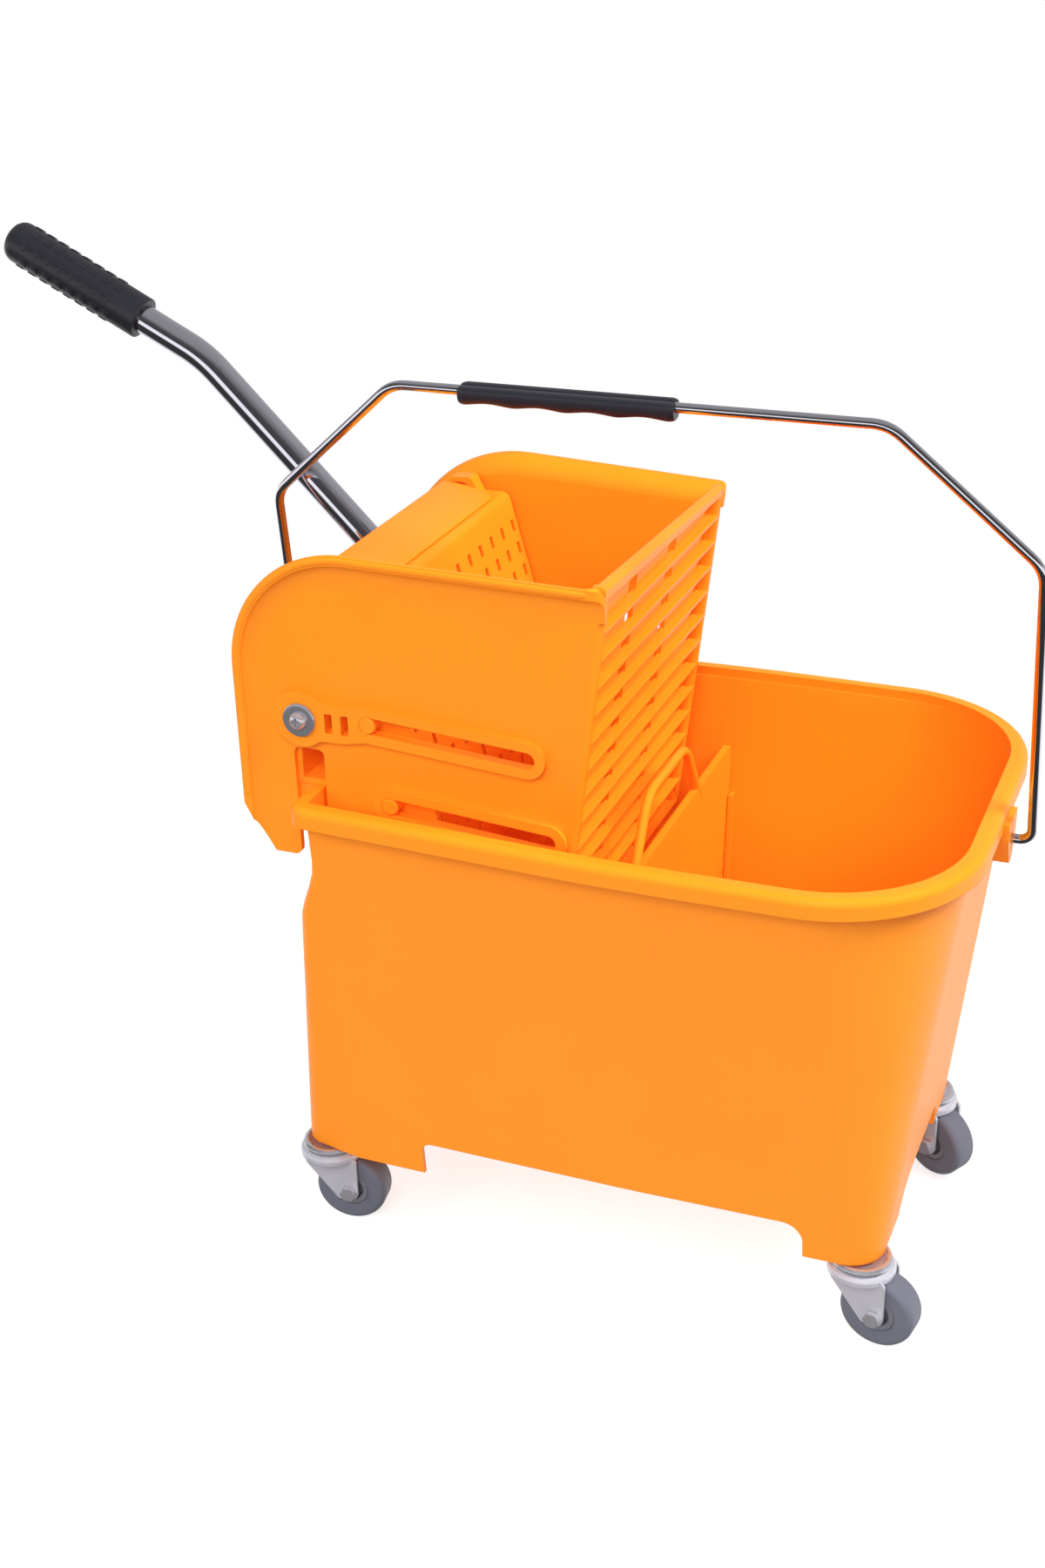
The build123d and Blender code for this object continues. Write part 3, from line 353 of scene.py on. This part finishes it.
def wire(work, points, radius, sides=12):
    """A round wire through a run of close points, with flat ends."""
    rings = []
    side = None
    for i, point in enumerate(points):
        ahead = points[min(i + 1, len(points) - 1)] - points[max(i - 1, 0)]
        ahead.normalize()
        if side is None:
            side = ahead.orthogonal()
        side = (side - ahead * side.dot(ahead)).normalized()
        other = ahead.cross(side)
        ring = []
        for k in range(sides):
            turn = 2 * pi * k / sides
            ring.append(work.verts.new(point + (side * cos(turn) + other * sin(turn)) * radius))
        rings.append(ring)
    bridge(work, rings)
    cap_ends(work, rings)


# Hood cover: the smooth crown of the lever's hood, which laps over the turned top of the press
def make_hood_cover():
    half_width = 94
    corner = 5
    rear = 5.6
    front = 42.6
    apex = 4
    apex_z = 89
    crown_radius = 111
    shell = 1.7
    nose_reach = 0.35
    stations = 48
    steps = 16
    places = [rear + (front - rear) * i / steps for i in range(steps + 1)]
    work = bmesh.new()
    rings = []
    for i in range(stations + 1):
        y = half_width * sin(pi * (i / stations - 0.5))
        over = max(0.0, abs(y) - (half_width - corner))
        limit = front - corner + sqrt(corner ** 2 - over ** 2)
        crown = []
        for x in places:
            x = min(x, limit)
            crown.append((x, apex_z - crown_radius + sqrt(crown_radius ** 2 - (x - apex) ** 2)))
        tip_x, tip_z = crown[-1]
        nose = [(tip_x + nose_reach, tip_z - shell * share) for share in (0.3, 0.7)]
        seat = [(x, z - shell) for x, z in crown[::-1]]
        rings.append(loop_at(work, crown + nose + seat, y))
    bridge(work, rings)
    cap_ends(work, rings)
    new_piece("hood_cover", work, "orange_plastic", "lever")


# Wringer moulding: the CAD form with its cheeks drawn to softer outlines, and a rolled edge
cheek_face = 118
modelled_cheek = {"left": -41, "tip": Vector((197, 100)), "slope": 0.032, "radius": 57}
modelled_flare = 10
near_cheek = {"left": -43.5, "tip": Vector((197, 106)), "slope": 0.021, "radius": 78}
near_flare = 5.5
near_widening = 1.5
far_cheek = {"left": -41, "tip": Vector((197, 96.8)), "slope": 0.053, "radius": 93}
far_flare = 9
far_widening = 1.0


def cheek_outline(left, tip, slope, radius):
    """Middle of a cheek's rounded corner, its arc's turn from the left, and the outward way of its top."""
    out = Vector((slope, 1)).normalized()
    x = left + radius
    z = (tip.dot(out) - radius - x * out.x) / out.y
    return Vector((x, z)), pi - atan2(out.y, out.x), out


def on_cheek(form, share, along, depth):
    """A point at a depth inside a cheek's outline, by its share of the arc and then along the top."""
    middle, sweep, out = cheek_outline(**form)
    turn = sweep * share
    point = middle + Vector((-cos(turn), sin(turn))) * (form["radius"] - depth)
    if share == 1:
        point += (form["tip"] - middle - out * form["radius"]) * along
    return point


def make_wringer_moulding():
    """Copy of the CAD wringer whose cheek edges move from the modelled outline to each cheek's own."""
    band = 16
    inside = 107
    slack = 0.004
    tip = modelled_cheek["tip"]
    middle, sweep, out = cheek_outline(**modelled_cheek)
    arc_end = middle + out * modelled_cheek["radius"]
    top_length = (tip - arc_end).length
    top_way = (tip - arc_end).normalized()
    mesh = nodes["wringer_body"].data.copy()
    mesh.name = "wringer_moulding"
    for vert in mesh.vertices:
        x, y, z = (vert.co - lever_pivot) / mm
        if abs(y) < inside:
            continue
        if y < 0:
            form, flare, widening = near_cheek, near_flare, near_widening
        else:
            form, flare, widening = far_cheek, far_flare, far_widening
        place = Vector((x, z))
        away = place - middle
        share = atan2(away.y, -away.x) / sweep
        if share > 1 + slack and away.y > 0:
            depth = (tip - place).dot(out)
            along = (place - arc_end).dot(top_way) / top_length
            moved = on_cheek(form, 1, along, depth * widening)
        elif share > -slack and away.y > -1:
            depth = modelled_cheek["radius"] - away.length
            moved = on_cheek(form, min(max(share, 0), 1), 0, depth * widening)
        else:
            depth = x - modelled_cheek["left"]
            moved = Vector((form["left"] + depth * widening, z))
        if depth > band:
            continue
        if abs(y) > cheek_face:
            reach = cheek_face + (abs(y) - cheek_face) * flare / modelled_flare
            y = reach if y > 0 else -reach
        vert.co = lever_pivot + Vector((moved.x, y, moved.y)) * mm
    settle("wringer_moulding", mesh, "orange_plastic", "bucket", ["wringer_body"])


def make_rolled_edge():
    """Bead along the near cheek's flared edge, round its corner and over the grille to the far cheek."""
    bead = 3.1
    inset = 2.7
    turn_radius = 9
    start = -56
    steps = 30
    turn_steps = 8
    sunk = 2
    side = cheek_face + near_flare - sunk
    far_side = cheek_face + 1
    run = [Vector((near_cheek["left"] + inset, -side, start))]
    for k in range(steps + 1):
        x, z = on_cheek(near_cheek, k / steps, 0, inset)
        run.append(Vector((x, -side, z)))
    end_x, end_z = on_cheek(near_cheek, 1, 1, inset)
    end_x -= inset
    for k in range(turn_steps + 1):
        turn = pi / 2 * k / turn_steps
        x = end_x - turn_radius * (1 - sin(turn))
        y = turn_radius * (1 - cos(turn)) - side
        run.append(Vector((x, y, end_z)))
    far_x, far_z = on_cheek(far_cheek, 1, 1, inset)
    run.append(Vector((far_x - inset, far_side, far_z)))
    work = bmesh.new()
    wire(work, [lever_pivot + point * mm for point in run], bead * mm, sides=16)
    new_piece("rolled_edge", work, "orange_plastic", "bucket")


# Press moulding: a bent sheet with rows of drain holes, flanges, lifting lugs and pads
def make_press_moulding():
    half = 111
    sheet = 3
    foot = -121
    top = 80
    front = 86
    top_front = 46.9
    turned_back = 28.9
    bend = -62
    columns = 12
    column_pitch = 18.8
    rows = 11
    row_pitch = 15.9
    first_row = 38.5
    hole_half_width = 2.25
    hole_half_height = 4
    foot_depth = 16
    set_in = 0.2
    behind = front - 1.5
    flange_inner, flange_outer = half - sheet, half - 0.1
    pad_inner, pad_outer = 50, 66
    peg_inner, peg_outer = 88, half - 1
    peg_x, peg_z = 59, -113
    peg_radius = 3
    lug_outer, lug_inner = half - 1.5, half - 13
    pocket_floor = half - 5
    tiny = 1e-6
    run = rounded([
        (turned_back, top, 0), (top_front, top, 7), (front, bend, 25), (front, foot, 4),
        (front - foot_depth, foot, 0),
    ])
    marks = [0.0]
    for a, b in zip(run, run[1:]):
        marks.append(marks[-1] + (b - a).length)
    row_ends = [
        first_row + row_pitch * i + side
        for i in range(rows) for side in (-hole_half_height, hole_half_height)
    ]
    column_ends = [
        column_pitch * (i - (columns - 1) / 2) + side
        for i in range(columns) for side in (-hole_half_width, hole_half_width)
    ]
    down = sorted(marks + row_ends)
    across = [-half] + column_ends + [half]

    def station(mark):
        """Point of the run and its inward direction at a distance along it."""
        i = min(max(k for k in range(len(marks)) if marks[k] <= mark + tiny), len(run) - 2)
        way = run[i + 1] - run[i]
        inward = Vector((way.y, -way.x)).normalized()
        if abs(mark - marks[i]) < tiny and i:
            before = run[i] - run[i - 1]
            inward = (inward + Vector((before.y, -before.x)).normalized()).normalized()
        return run[i] + way * ((mark - marks[i]) / way.length), inward

    def is_hole(i, j):
        """Whether a cell of the sheet is open: a drain hole, or past the sheet's edge."""
        if not (0 <= i < len(down) - 1 and 0 <= j < len(across) - 1):
            return True
        middle = (down[i] + down[i + 1]) / 2
        in_row = any(low < middle < high for low, high in zip(row_ends[::2], row_ends[1::2]))
        return in_row and j % 2 == 1

    work = bmesh.new()
    outer = []
    inner = []
    for mark in down:
        point, inward = station(mark)
        deep = point + inward * sheet
        outer.append([work.verts.new(lever_pivot + Vector((point.x, y, point.y)) * mm) for y in across])
        inner.append([work.verts.new(lever_pivot + Vector((deep.x, y, deep.y)) * mm) for y in across])
    for i in range(len(down) - 1):
        for j in range(len(across) - 1):
            if is_hole(i, j):
                continue
            cell = [(i, j), (i + 1, j), (i + 1, j + 1), (i, j + 1)]
            work.faces.new([outer[a][b] for a, b in cell])
            work.faces.new([inner[a][b] for a, b in cell[::-1]])
            beside = [(i, j - 1), (i + 1, j), (i, j + 1), (i - 1, j)]
            for k in range(4):
                if is_hole(*beside[k]):
                    (a, b), (c, d) = cell[k], cell[(k + 1) % 4]
                    work.faces.new((outer[c][d], outer[a][b], inner[a][b], inner[c][d]))
    flange = rounded([
        (top_front - 0.3, top - set_in, 7), (turned_back, top - set_in, 0), (33, -5, 15), (47.5, -60, 15),
        (51, foot + set_in, 5), (behind, foot + set_in, 0), (behind, bend, 0),
    ])
    pad = rounded([(61, -87, 1), (59, -111, 1), (behind, -115, 0), (behind, -83, 0)])
    turns = [pi * k / 12 for k in range(24)]
    peg = [(peg_x + peg_radius * cos(turn), peg_z + peg_radius * sin(turn)) for turn in turns]
    lug = rounded([(33, 75, 1), (24.5, 92, 4), (8, 91, 6), (4.5, 75, 2)])
    pocket = rounded([(23.5, 78, 2), (20.5, 88, 3), (11, 87.5, 3), (8.5, 78, 2)])
    for side in (1, -1):
        extruded(work, flange, side * flange_inner, side * flange_outer)
        extruded(work, pad, side * pad_inner, side * pad_outer)
        extruded(work, peg, side * peg_inner, side * peg_outer)
        rings = [
            loop_at(work, lug, side * lug_outer),
            loop_at(work, lug, side * lug_inner),
            loop_at(work, pocket, side * lug_inner),
            loop_at(work, pocket, side * pocket_floor),
        ]
        bridge(work, rings)
        cap_ends(work, rings)
    new_piece("press_moulding", work, "orange_plastic", "press", "press_plate")


# Rail ends: tabs under the ends of the wringer's rear rail, which close the corner over the bucket's lip
def make_rail_ends():
    inner, outer = 110, 113.8
    tab = rounded([(-8, -46, 0), (-8, -62, 2), (12, -62, 2), (12, -46, 0)])
    work = bmesh.new()
    for side in (1, -1):
        extruded(work, tab, side * inner, side * outer)
    new_piece("rail_ends", work, "orange_plastic", "bucket")


# Pivot washers with rounded edges
def make_washers():
    bore = 4.1
    radius = 11
    low = 122.02
    high = 124
    edge = 0.7
    turns = [pi / 2 * k / 4 for k in range(5)]
    rim = [(radius - edge + edge * sin(turn), high - edge + edge * cos(turn)) for turn in turns]
    lip = [(bore + edge - edge * sin(turn), high - edge + edge * cos(turn)) for turn in turns[::-1]]
    profile = [(bore, low)] + lip + rim + [(radius, low)]
    work = bmesh.new()
    for side in (1, -1):
        place = place_along(lever_pivot, (0, side, 0), across=(1, 0, 0))
        turned(work, [(reach * mm, height * mm) for reach, height in profile], place, hollow=True)
    obj = new_piece("washer_pair", work, "zinc", "bucket", "pivot_washers")
    dress(obj, "washer_steel")


# Wheels: a soft-shouldered tyre and a hub with a deep recess
def make_wheel(place_name):
    joint = joint_of["spin_" + place_name]
    place = place_along(joint["pos_m"], joint["axis"], across=(0, 0, 1))
    rim = 25
    side = 10
    shoulder = 4.5
    seat = 12.5
    chamfer = 0.6
    bore = 3.05
    web = 2.6
    hub_face = side - 0.5
    hub_edge = side - 0.9
    tyre = [(seat, side - chamfer), (seat + chamfer, side)]
    for k in range(9):
        turn = pi * k / 16
        tyre.append((rim - shoulder + shoulder * sin(turn), side - shoulder + shoulder * cos(turn)))
    recess = [(bore, web), (8.2, web), (8.6, hub_edge), (9.1, hub_face)]
    hub = recess + [(seat - 0.5, hub_face), (seat - 0.1, hub_edge)]
    for name, profile in (("tyre", tyre), ("hub", hub)):
        both = profile + [(radius, -height) for radius, height in profile[::-1]]
        work = bmesh.new()
        turned(work, [(radius * mm, height * mm) for radius, height in both], place, hollow=True)
        node = f"caster_{place_name}_{name}"
        new_piece(f"wheel_{place_name}_{name}", work, slot_of[node], f"wheel_{place_name}", node)


# Lever grip: a rubber sleeve with rows of raised squares
def make_lever_grip():
    tube_end = Vector((-428.78, 0, 645.60)) * mm
    way = Vector((-0.89101, 0, 0.45399))
    radius = 13.8 * mm
    raised = 0.7 * mm
    cap = 3 * mm
    foot = -102 * mm
    edge = 8 * mm
    rows = 8
    squares = 8
    pitch = 9.4 * mm
    first = 15 * mm
    shift = 3.75 * mm
    half = 2.8 * mm
    softened = 0.35 * mm
    bore = 9.6 * mm
    dish_radius = 4 * mm
    dish = 1 * mm
    end_flat = 3 * mm
    lip = 0.9 * mm
    lip_turns = (0.4, 0.9, pi / 2)
    edge_turns = (0, 0.3, 0.6, 0.9, 1.2, 1.45)
    place = place_along(tube_end, way)
    work = bmesh.new()
    profile = [(dish_radius, foot + dish), (bore, foot)]
    profile += [(radius - lip * (1 - sin(turn)), foot + lip * (1 - cos(turn))) for turn in lip_turns]
    profile += [(radius - edge * (1 - cos(turn)), cap - edge * (1 - sin(turn))) for turn in edge_turns]
    profile.append((end_flat, cap))
    turned(work, profile, place, steps=96)
    for row in range(rows):
        around = 2 * pi * (row + 0.5) / rows
        start = cap - first - (row % 2) * shift
        for i in range(squares):
            along = start - pitch * i
            block = bmesh.ops.create_cube(work, size=1)["verts"]
            edges = list({e for v in block for e in v.link_edges})
            bmesh.ops.scale(work, vec=(2 * half, 2 * half, 2 * raised), verts=block)
            cut = bmesh.ops.bevel(
                work, geom=edges, offset=softened, segments=2,
                profile=0.5, affect="EDGES", clamp_overlap=True,
            )
            made = {v for f in cut["faces"] for v in f.verts} | {v for v in block if v.is_valid}
            for vert in made:
                turn = around + vert.co.x / radius
                out = radius + vert.co.z
                vert.co = place @ Vector((out * cos(turn), out * sin(turn), along + vert.co.y))
    new_piece("lever_sleeve", work, "black_rubber", "lever", "lever_grip")


# Bail grip: a clipped-on bar with hollows for the fingers and an open seam over the wire
def make_bail_grip():
    lean = Matrix.Rotation(radians(8.5), 4, "X")
    on_bail = Matrix.Translation(Vector((-39, 0, 265)) * mm)
    centre = Matrix.Translation(bail_pivot) @ lean @ on_bail
    half = 67.5 * mm
    top = 3.9 * mm
    low = -8.1 * mm
    hollow = 1.7 * mm
    finger_pitch = 32.5 * mm
    fingers_half = 2 * finger_pitch
    hollow_shape = 0.8
    end_length = 4.5 * mm
    end_shape = 2.4
    side_shrink = 0.16
    low_shrink = 0.12
    top_drop = 0.9 * mm
    stations = 120
    outline = [
        (0.55, 2.4), (0.55, 3.55), (1.0, 3.9), (4.6, 3.9), (5.7, 3.5), (6.4, 2.6), (6.75, 1.0),
        (7.0, -1.5), (6.9, -3.6), (6.3, -5.4), (5.0, -7.0), (3.0, -7.9), (1.0, -8.1),
    ]
    section = outline + [(-y, z) for y, z in outline[::-1]]
    work = bmesh.new()
    rings = []
    for i in range(stations + 1):
        x = -half + 2 * half * i / stations
        wave = 0.5 - 0.5 * cos(2 * pi * (x + fingers_half) / finger_pitch)
        inside = abs(x) < fingers_half
        lift = hollow * wave ** hollow_shape if inside else 0.0
        end = max(0.0, (abs(x) - (half - end_length)) / end_length) ** end_shape
        shrink = 1 - side_shrink * end
        ring = []
        for y, z in section:
            y *= mm * shrink
            z *= mm
            if z < 0:
                z += lift * (z / low)
                z *= 1 - low_shrink * end
            else:
                z -= top_drop * end * (z / top)
            ring.append(work.verts.new(centre @ Vector((x, y, z))))
        rings.append(ring)
    bridge(work, rings)
    cap_ends(work, rings)
    new_piece("bail_hand_grip", work, "black_plastic", "bail", "bail_grip", sharp=50)


# Return springs: close coils between two hooks, which the press draws out as it moves; here made once, in
# their rest shape
def make_return_spring(name, node, y):
    fixed = Vector((-154, y, 354)) * mm
    moving = Vector((-119, y, 276)) * mm
    wire_radius = 0.9 * mm
    coil = 4.9 * mm
    loop = 4.4 * mm
    turns = 14
    steps = 18
    axis = (moving - fixed).normalized()
    length = (moving - fixed).length
    across = Vector((0, 1, 0))
    side = across.cross(axis)
    lead = 0.35 * (loop + coil)
    hook = 1.5 * pi
    points = []
    for i in range(steps):
        turn = hook * i / (steps - 1) - hook
        points.append(fixed + (side * cos(turn) + axis * sin(turn)) * loop)
    wound = turns * steps
    for i in range(1, wound):
        turn = 2 * pi * i / steps
        share = i / wound
        ease = min(1.0, min(share, 1 - share) * turns * 2)
        out = loop + (coil - loop) * ease
        points.append(
            fixed + axis * (lead + (length - 2 * lead) * share)
            + side * (out * cos(turn)) + across * (out * sin(turn) * ease)
        )
    for i in range(steps):
        turn = hook * i / (steps - 1)
        points.append(moving + (side * cos(turn) + axis * sin(turn)) * loop)
    work = bmesh.new()
    wire(work, points, wire_radius)
    obj = new_piece(name, work, "spring_steel", None, node)
    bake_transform(obj)


make_hood_cover()
make_wringer_moulding()
make_rolled_edge()
make_press_moulding()
make_rail_ends()
make_washers()
for place_name in ("wringer_near", "wringer_far", "plain_near", "plain_far"):
    make_wheel(place_name)
make_lever_grip()
make_bail_grip()
make_return_spring("spring_far", "return_spring_far", 96.0)
make_return_spring("spring_near", "return_spring_near", -96.0)


# Camera at the photograph's place, with its slight roll
def make_camera():
    lens_height = 36.0
    photo_height = 1801
    focal_pixels = 2373.6
    place = Vector((0.3922, -1.1504, 0.8999))
    ahead = Vector((-0.3430, 0.8343, -0.4316))
    roll = radians(-1.46)
    data = bpy.data.cameras.new("Photo camera")
    data.sensor_fit = "VERTICAL"
    data.sensor_height = lens_height
    data.lens = lens_height * focal_pixels / photo_height
    data.clip_start = 0.05
    camera = bpy.data.objects.new("Photo camera", data)
    scene.collection.objects.link(camera)
    camera.rotation_mode = "QUATERNION"
    camera.location = place
    camera.rotation_quaternion = ahead.to_track_quat("-Z", "Y") @ Quaternion((0, 0, 1), roll)
    scene.camera = camera


def make_floor():
    """Pale floor that fades away into the white surround, and stays out of the reflections."""
    reach = 3.0
    dark = (0.44, 0.44, 0.44)
    light = (0.47, 0.47, 0.47)
    camera_glow = 0.52
    base_glow = 0.22
    mesh = bpy.data.meshes.new("Floor")
    corners = [(-reach, -reach, 0), (reach, -reach, 0), (reach, reach, 0), (-reach, reach, 0)]
    mesh.from_pydata(corners, [], [(0, 1, 2, 3)])
    floor = bpy.data.objects.new("Floor", mesh)
    scene.collection.objects.link(floor)
    floor.visible_glossy = False
    paint, tree, shader = new_material(
        "Pale floor", Roughness=0.8, Specular_IOR_Level=0.1, Emission_Color=(1, 1, 1, 1)
    )
    place = add(tree, "ShaderNodeTexCoord")
    cloud = add(tree, "ShaderNodeTexNoise", Scale=3.0)
    distance = add(tree, "ShaderNodeVectorMath", operation="LENGTH")
    rays = add(tree, "ShaderNodeLightPath")
    glow = add(tree, "ShaderNodeMath", operation="MULTIPLY_ADD")
    glow.inputs[1].default_value = camera_glow
    glow.inputs[2].default_value = base_glow
    fade = add(tree, "ShaderNodeMapRange", From_Min=0.55, From_Max=1.3, To_Min=1.0, To_Max=0.0)
    fade.interpolation_type = "SMOOTHSTEP"
    link = tree.links.new
    link(place.outputs["Object"], cloud.inputs["Vector"])
    link(place.outputs["Object"], distance.inputs[0])
    link(distance.outputs["Value"], fade.inputs["Value"])
    link(colour_between(tree, cloud.outputs["Fac"], dark, light), shader.inputs["Base Color"])
    link(fade.outputs["Result"], shader.inputs["Alpha"])
    link(rays.outputs["Is Camera Ray"], glow.inputs[0])
    link(glow.outputs[0], shader.inputs["Emission Strength"])
    mesh.materials.append(paint)


def ramp(tree, factor, stops):
    """A grey level that runs through (place, level) stops."""
    node = add(tree, "ShaderNodeValToRGB")
    elements = node.color_ramp.elements
    while len(elements) < len(stops):
        elements.new(1.0)
    for element, (place, level) in zip(elements, stops):
        element.position = place
        element.color = (level, level, level, 1)
    tree.links.new(factor, node.inputs["Fac"])
    return node.outputs["Color"]


def blended(tree, factor, low, high):
    """One value or another, or a mix of them, by a linked factor."""
    mix = add(tree, "ShaderNodeMix", data_type="FLOAT")
    tree.links.new(factor, mix.inputs["Factor"])
    for socket, value in ((mix.inputs["A"], low), (mix.inputs["B"], high)):
        if isinstance(value, float):
            socket.default_value = value
        else:
            tree.links.new(value, socket)
    return mix.outputs["Result"]


def make_surround():
    """Studio surround: white behind, an even dome of light, and a strip and grey sky for the mirrors."""
    dome = 0.1
    strip = 1.25
    world = bpy.data.worlds.new("Studio surround")
    scene.world = world
    world.use_nodes = True
    tree = world.node_tree
    link = tree.links.new
    place = add(tree, "ShaderNodeTexCoord")
    split = add(tree, "ShaderNodeSeparateXYZ")
    height = add(tree, "ShaderNodeMapRange", From_Min=-1.0, From_Max=1.0)
    behind = add(tree, "ShaderNodeMapRange", From_Min=-0.2, From_Max=0.25)
    behind.interpolation_type = "SMOOTHSTEP"
    level = add(tree, "ShaderNodeMath", operation="MULTIPLY")
    level.inputs[1].default_value = strip
    rays = add(tree, "ShaderNodeLightPath")
    link(place.outputs["Generated"], split.inputs["Vector"])
    link(split.outputs["Z"], height.inputs["Value"])
    link(split.outputs["Y"], behind.inputs["Value"])
    front = ramp(tree, height.outputs["Result"], [
        (0.0, 0.03), (0.39, 0.04), (0.42, 0.95), (0.57, 0.95),
        (0.6, 0.05), (0.8, 0.07), (0.92, 0.25), (1.0, 0.27),
    ])
    back = ramp(tree, height.outputs["Result"], [
        (0.0, 0.1), (0.15, 0.75), (0.3, 1.0), (0.46, 0.9), (0.52, 0.42), (0.7, 0.36), (1.0, 0.27),
    ])
    link(blended(tree, behind.outputs["Result"], front, back), level.inputs[0])
    lit = blended(tree, rays.outputs["Is Glossy Ray"], dome, level.outputs[0])
    seen = blended(tree, rays.outputs["Is Camera Ray"], lit, 1.0)
    link(seen, tree.nodes["Background"].inputs["Strength"])
    tree.nodes["Background"].inputs["Color"].default_value = (1, 1, 1, 1)


def make_lights():
    """Large soft lamps at (place, size, watts), all turned to the middle of the bucket."""
    aim = Vector((0, 0, 0.3))
    lamps = [
        ("Front light", (0.3, -2.2, 1.9), 1.8, 53.0),
        ("End light", (1.7, 0.0, 2.2), 1.4, 76.0),
        ("Fill light", (-1.9, -1.4, 1.2), 1.6, 20.0),
        ("Back light", (-0.8, 2.4, 0.7), 1.6, 22.0),
    ]
    for name, place, size, power in lamps:
        data = bpy.data.lights.new(name, "AREA")
        data.shape = "DISK"
        data.size = size
        data.energy = power
        lamp = bpy.data.objects.new(name, data)
        scene.collection.objects.link(lamp)
        lamp.location = place
        lamp.rotation_euler = (aim - Vector(place)).to_track_quat("-Z", "Y").to_euler()
        lamp.visible_glossy = False
    scene.view_settings.view_transform = "Standard"


make_camera()
make_floor()
make_surround()
make_lights()
